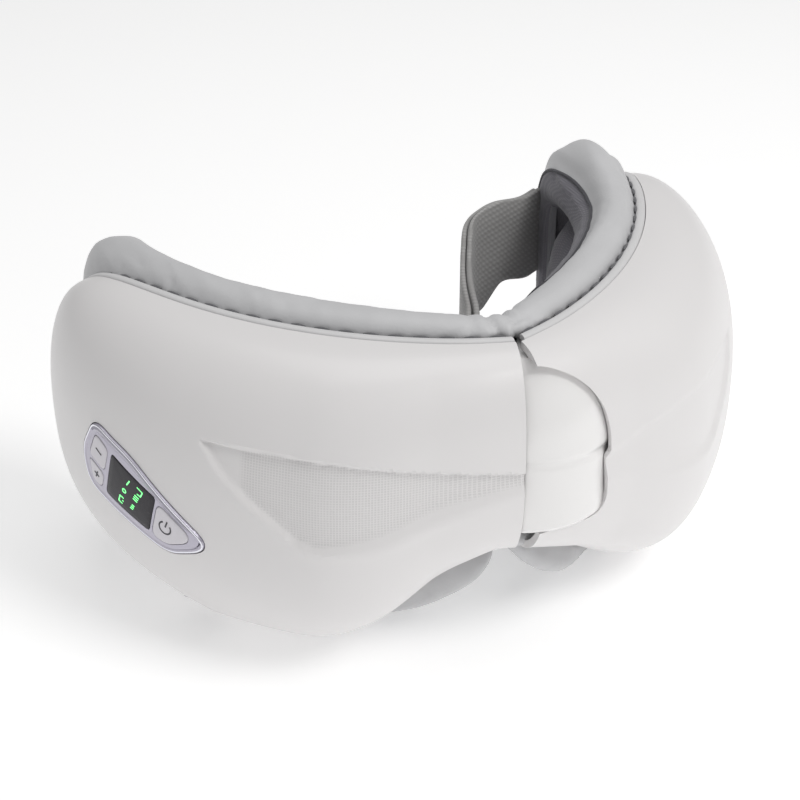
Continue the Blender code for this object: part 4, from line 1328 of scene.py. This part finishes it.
def dress_rim(item):
    """The inner wall of the roll is dark knit, from the seam near its crest inward."""
    dress(item, LEATHER, KNIT)
    polygons = item.data.polygons
    notes = nearest_outline([p.center.copy() for p in polygons])
    for polygon, (inward, n) in zip(polygons, notes):
        behind = inward > INNER_SEAM and n < -2.0 * MM
        beside_nose = abs(polygon.center.x) <= 12.5 * MM
        polygon.material_index = 1 if (behind or inward > 7.0 * MM) and not beside_nose else 0


INNER_SEAM = 0.9 * MM
dress_rim(rim)
rim_tree = BVHTree.FromObject(rim, bpy.context.evaluated_depsgraph_get())
resting = fill_outer_end(coordinates(rim.data))
resting[:, 2] = np.maximum(resting[:, 2], 0.1 * MM)
set_coordinates(rim.data, resting)
soften(rim, 70.0)
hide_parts("left_rim_pad", "right_rim_pad")
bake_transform(rim)


def lay_on_rim(side, place, inward, start_n):
    """Where a line from the face side meets the rim at that inward distance."""
    s, z, inward_s, inward_z = place
    start = pod_point(side, s + inward * inward_s, start_n, z + inward * inward_z)
    deeper = pod_point(side, s + inward * inward_s, start_n + MM, z + inward * inward_z)
    return rim_tree.ray_cast(start, (deeper - start).normalized(), 0.03)[0]


def inner_seam(side):
    """Corded seam between the leather and the knit."""
    parts = []
    path = []
    places = face_outline(PAD_START, 0.0, 260, PAD_CORNER)
    for place in places + [None]:
        hit = lay_on_rim(side, place, INNER_SEAM, -20.0 * MM) if place else None
        if hit is not None and abs(hit.x) > 12.0 * MM:
            path.append(hit)
            continue
        if len(path) > 3:
            parts.append(tube_parts(fill_outer_end(np.array(path)), 0.5 * MM, 8))
        path = []
    item = add_mesh(WORD[side] + "_inner_seam", *join_parts(parts), [SEAM], 60.0)
    settle(item, BODY[side], "cushion_fabric")


WELT_SECTION = [(w * MM, n * MM) for w, n in (
    (0.9, 5.3), (0.1, 5.3), (-0.25, 5.6), (-0.42, 6.1), (-0.42, 6.8), (-0.25, 7.3), (0.1, 7.55),
    (0.9, 7.55))]
STITCH_LINE = [(-0.05 * MM, 5.15 * MM)]
STITCH_PITCH = 5.4 * MM
STITCH_LENGTH = 3.4 * MM


def stitch_radius(share):
    return 0.42 * MM * (0.35 + 0.65 * math.sin(math.pi * share))


def welt_and_stitches(side):
    """The cord along the shell's edge, and the row of stitches in the leather behind it."""
    start = 1.0 * MM if side == LEFT else 1.4 * MM
    places = []
    for s, z, inward_s, inward_z in edge_run(420, 14.5 * MM, start):
        places.append((s, z + (nose_lift(side, s) if z < 40.0 * MM else 0.0), inward_s, inward_z))
    rings = [section_ring(side, place, WELT_SECTION) for place in places]
    settle(loft(WORD[side] + "_welt", rings, [WELT], 60.0), BODY[side], "rim_leather")
    parts = []
    points = [section_ring(side, place, STITCH_LINE)[0] for place in places]
    along = [0.0]
    for a, b in zip(points, points[1:]):
        along.append(along[-1] + (b - a).length)
    total = along[-1]
    for k in range(int(total / STITCH_PITCH)):
        begin = 1.0 * MM + k * STITCH_PITCH
        run = []
        for m in range(7):
            goal = begin + STITCH_LENGTH * m / 6
            if goal >= total:
                break
            i = int(np.searchsorted(along, goal)) - 1
            i = min(max(i, 0), len(points) - 2)
            part = (goal - along[i]) / max(along[i + 1] - along[i], 1e-9)
            run.append(points[i].lerp(points[i + 1], part))
        if len(run) == 7:
            parts.append(tube_parts(run, stitch_radius, 6))
    stitches = add_mesh(WORD[side] + "_stitches", *join_parts(parts), [THREAD], 60.0)
    settle(stitches, BODY[side], "cushion_fabric")


CUSHION_INSET = 10.4 * MM


def eye_cushion(side):
    """A crowned pad with a sewn channel near its rim and a raised fold round the eye."""
    edge = face_outline(PAD_START, CUSHION_INSET, 96, PAD_CORNER)
    middle_s = sum(p[0] for p in edge) / len(edge)
    middle_z = sum(p[1] for p in edge) / len(edge)
    shares = [0.06 + 0.94 * k / 15 for k in range(16)]
    outer_crown = 8.0 if side == RIGHT else 1.6
    rings = []
    for level, crown in ((0.5, 0.0), (-2.2, 3.2)):
        layer = []
        for share in shares:
            ring = []
            for edge_s, edge_z, _, _ in edge:
                s = middle_s + (edge_s - middle_s) * share
                z = middle_z + (edge_z - middle_z) * share
                full = crown + (outer_crown * smooth((s - 46.0 * MM) / (26.0 * MM)) if crown else 0.0)
                ring.append(pod_point(side, s, (level - full * (1.0 - share ** 3)) * MM, z))
            layer.append(ring)
        rings.append(layer)
    order = rings[0] + list(reversed(rings[1]))
    item = loft(WORD[side] + "_cushion_knit", order, [KNIT])
    remeshed(item, 1.2 * MM, 2)
    plump(item, 3.5, 1.2 * MM)
    points = coordinates(item.data)
    out = np.array(pod_point(side, middle_s, 1.0, 0.0) - pod_point(side, middle_s, 0.0, 0.0))
    centre = np.array(pod_point(side, middle_s, -4.0 * MM, middle_z))
    along = np.cross(out, np.array((0.0, 0.0, 1.0)))
    u = (points - centre) @ along / MM
    v = (points[:, 2] - centre[2]) / MM
    radius = np.sqrt((u / 1.25) ** 2 + v ** 2)
    face = soft_step((-((points - centre) @ out) / MM + 2.5) / 2.0)
    fold = np.exp(-((radius - 17.5) / 1.6) ** 2) * 0.9 - np.exp(-((radius - 14.4) / 0.9) ** 2) * 1.0
    cup = -0.9 * np.exp(-(radius / 9.0) ** 2)
    swirl = 0.5 + 0.5 * np.cos(np.arctan2(v, u * side) - 0.6)
    push = (fold * (0.35 + 0.65 * swirl) + cup) * face * MM
    points = points - out[None, :] * push[:, None]
    set_coordinates(item.data, fill_outer_end(points))
    dress(item, KNIT)
    soften(item, 70.0)
    settle(item, BODY[side], "cushion_fabric", WORD[side] + "_eye_cushion")


for side in (LEFT, RIGHT):
    inner_seam(side)
    welt_and_stitches(side)
    eye_cushion(side)


# ---------------------------------------------------------------- head strap

STRAP_FREE_SIDE = ((-9.5, 20.2), (-2.0, 19.4), (3.8, 22.6), (7.6, 29.0), (12.0, 41.0), (18.5, 54.5),
                   (25.5, 65.5), (36.0, 71.5), (45.0, 76.0), (51.6, 79.6))


def strap_run():
    """Plan path of the strap, from the left pod's outer end, past the bridge, to the right one's."""
    n = PAD_BACK - 3.6 * MM
    knots = []
    for k in range(9):
        spot = pod_point(LEFT, (106.6 - (106.6 - 30.0) * k / 8) * MM, n, 0.0) - SHIFT
        knots.append((spot.x, spot.y))
    knots += [(x * MM, y * MM) for x, y in STRAP_FREE_SIDE]
    return resample(catmull(knots, 8), 260)


STRAP_LIFT = 4.2 * MM


def strap_layer(name, offset, thickness, low, high):
    """One layer of the doubled strap; offset is its distance from the path, by place along it."""
    run = strap_run()
    half = 0.5 * thickness
    side_z = [share * high + (1.0 - share) * low for share in (0.25, 0.5, 0.75)]
    section = [(-half, low + 0.5 * MM), (-0.5 * half, low), (0.5 * half, low), (half, low + 0.5 * MM)]
    section += [(half, z) for z in side_z]
    section += [(half, high - 0.5 * MM), (0.5 * half, high)]
    section += [(-0.5 * half, high), (-half, high - 0.5 * MM)]
    section += [(-half, z) for z in reversed(side_z)]
    count = len(run)
    rings = []
    lengths = [0.0]
    for i in range(count):
        ahead = run[min(i + 1, count - 1)] - run[max(i - 1, 0)]
        ahead /= np.linalg.norm(ahead)
        across = Vector((ahead[1], -ahead[0], 0.0))
        share = i / (count - 1)
        shift_by = offset(share)
        wave = 0.35 * MM * math.sin(share * 40.0) * math.sin(share * 13.0)
        here = Vector((run[i][0], run[i][1], 0.0)) + across * shift_by
        past = run[i][1] if run[i][0] > 0.0 else 0.0
        lift_top = STRAP_LIFT * smooth((past - 45.0 * MM) / (22.0 * MM))
        lift_top -= 0.7 * STRAP_LIFT * smooth((past - 69.0 * MM) / (9.0 * MM))
        lift_low = STRAP_LIFT * smooth((past - 68.0 * MM) / (4.0 * MM))
        lift_low -= 0.7 * STRAP_LIFT * smooth((past - 72.0 * MM) / (6.0 * MM))
        ring = []
        for w, z in section:
            spot = here + across * w
            lift = lift_low + (lift_top - lift_low) * (z - low) / (high - low)
            ring.append(Vector((spot.x, spot.y, z + wave + lift)) + SHIFT)
        rings.append(ring)
        if i:
            lengths.append(lengths[-1] + float(np.linalg.norm(run[i] - run[i - 1])))
    item = loft(name, rings, [STRAP], 60.0)
    mesh = item.data
    uv = mesh.uv_layers.new(name="UVMap")
    size = len(rings[0])
    for loop in mesh.loops:
        i, j = divmod(loop.vertex_index, size)
        uv.data[loop.index].uv = (lengths[i] / UV_UNIT, rings[i][j].z / UV_UNIT)
    return item


def gap_inner(share):
    open_by = math.exp(-((share - 0.46) / 0.10) ** 2)
    return -(0.75 + 1.4 * open_by) * MM


def gap_outer(share):
    return 0.75 * MM


strap_a = strap_layer("head_strap_outer", gap_outer, 1.3 * MM, STRAP_LOW, STRAP_HIGH)
strap_b = strap_layer("head_strap_inner", gap_inner, 1.3 * MM, STRAP_LOW + 0.6 * MM,
                      STRAP_HIGH - 0.6 * MM)
for item, nodes in ((strap_a, ("left_strap_run", "right_strap_run")), (strap_b, ())):
    if nodes:
        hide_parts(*nodes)
    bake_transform(item)


# ---------------------------------------------------------------- CAD nodes that stay

slot_looks = {
    "frame_plastic": plastic("frame_plastic_look", (0.30, 0.30, 0.32), 0.55),
    "airbag_film": plastic("airbag_film_look", (0.16, 0.17, 0.19), 0.40, 0.3),
    "heating_film": board("heating_film_look", (0.45, 0.22, 0.06)),
    "hinge_steel": STEEL_LOOK,
    "button_silver": KEY,
    "board_green": board("board_green_look", (0.03, 0.20, 0.09)),
    "weight_brass": metal("weight_brass_look", (0.55, 0.42, 0.18), 0.32),
    "speaker_black": plastic("speaker_black_look", (0.04, 0.04, 0.04), 0.5),
    "battery_wrap": plastic("battery_wrap_look", (0.10, 0.16, 0.30), 0.35, 0.4),
    "pump_black": plastic("pump_black_look", (0.05, 0.05, 0.06), 0.45),
    "valve_white": plastic("valve_white_look", (0.70, 0.70, 0.66), 0.5),
    "anchor_plastic": plastic("anchor_plastic_look", (0.30, 0.30, 0.32), 0.5),
}
for entry in frame["record"]["subparts"]:
    node = bpy.data.objects.get(entry["node"])
    made = slot_looks.get(entry.get("material_slot"))
    if node is None or made is None or node.type != "MESH":
        continue
    if not node.data.materials:
        node.data.materials.append(made)
    for slot in node.material_slots:
        slot.material = made


# ---------------------------------------------------------------- floor, light, camera

def floor_look():
    made = Nodes("studio_floor_look", (0.93, 0.93, 0.93), 0.7, Emission_Color=(1.0, 1.0, 1.0, 1.0),
                 Emission_Strength=0.30)
    made.shades(made.noise(6.0, 2.0), 0.004)
    made.gloss(made.noise(40.0, 2.0), 0.66, 0.74)
    return made.material


FLOOR_CORNERS = [(-4.0, -4.0, 0.0), (4.0, -4.0, 0.0), (4.0, 4.0, 0.0), (-4.0, 4.0, 0.0)]
floor = add_mesh("studio_floor", FLOOR_CORNERS, [(0, 1, 2, 3)], [floor_look()])

SKY_STRENGTH = 0.36
world = bpy.data.worlds.new("studio")
world.use_nodes = True
sky = world.node_tree.nodes["Background"]
sky.inputs["Color"].default_value = (1.0, 1.0, 1.0, 1.0)
sky.inputs["Strength"].default_value = SKY_STRENGTH
bpy.context.scene.world = world
bpy.context.scene.view_settings.view_transform = "Standard"


def area_light(name, place, aim, size, power, color=(1.0, 1.0, 1.0)):
    data = bpy.data.lights.new(name, "AREA")
    data.shape = "RECTANGLE"
    data.size = size[0]
    data.size_y = size[1]
    data.energy = power
    data.color = color
    lamp = bpy.data.objects.new(name, data)
    lamp.location = place
    lamp.rotation_euler = (Vector(aim) - Vector(place)).to_track_quat("-Z", "Y").to_euler()
    bpy.context.scene.collection.objects.link(lamp)


centre = 0.5 * (Vector(CAD_BOX[0]) + Vector(CAD_BOX[1]))
area_light("key_light", (0.30, -0.45, 0.70), centre, (0.34, 0.34), 2.75, (1.0, 0.995, 0.985))
area_light("top_light", (0.05, 0.10, 0.9), centre, (0.6, 0.6), 1.9)
area_light("left_fill", (-0.7, -0.5, 0.25), centre, (0.4, 0.3), 0.15, (0.96, 0.97, 1.0))

CAMERA_TURN = math.radians(-24.7)
CAMERA_RISE = math.radians(30.6)
CAMERA_DISTANCE = 0.411
CAMERA_LENS = 81.0
CAMERA_SENSOR = 36.0
target = Vector((-14.8 * MM, -9.35 * MM, 51.7 * MM))
back = Vector((math.sin(CAMERA_TURN) * math.cos(CAMERA_RISE),
               -math.cos(CAMERA_TURN) * math.cos(CAMERA_RISE), math.sin(CAMERA_RISE)))
lens = bpy.data.cameras.new("camera")
lens.sensor_width = CAMERA_SENSOR
lens.lens = CAMERA_LENS
lens.clip_start = 0.01
camera = bpy.data.objects.new("camera", lens)
camera.location = target + back * CAMERA_DISTANCE
camera.rotation_euler = (-back).to_track_quat("-Z", "Y").to_euler()
bpy.context.scene.collection.objects.link(camera)
bpy.context.scene.camera = camera
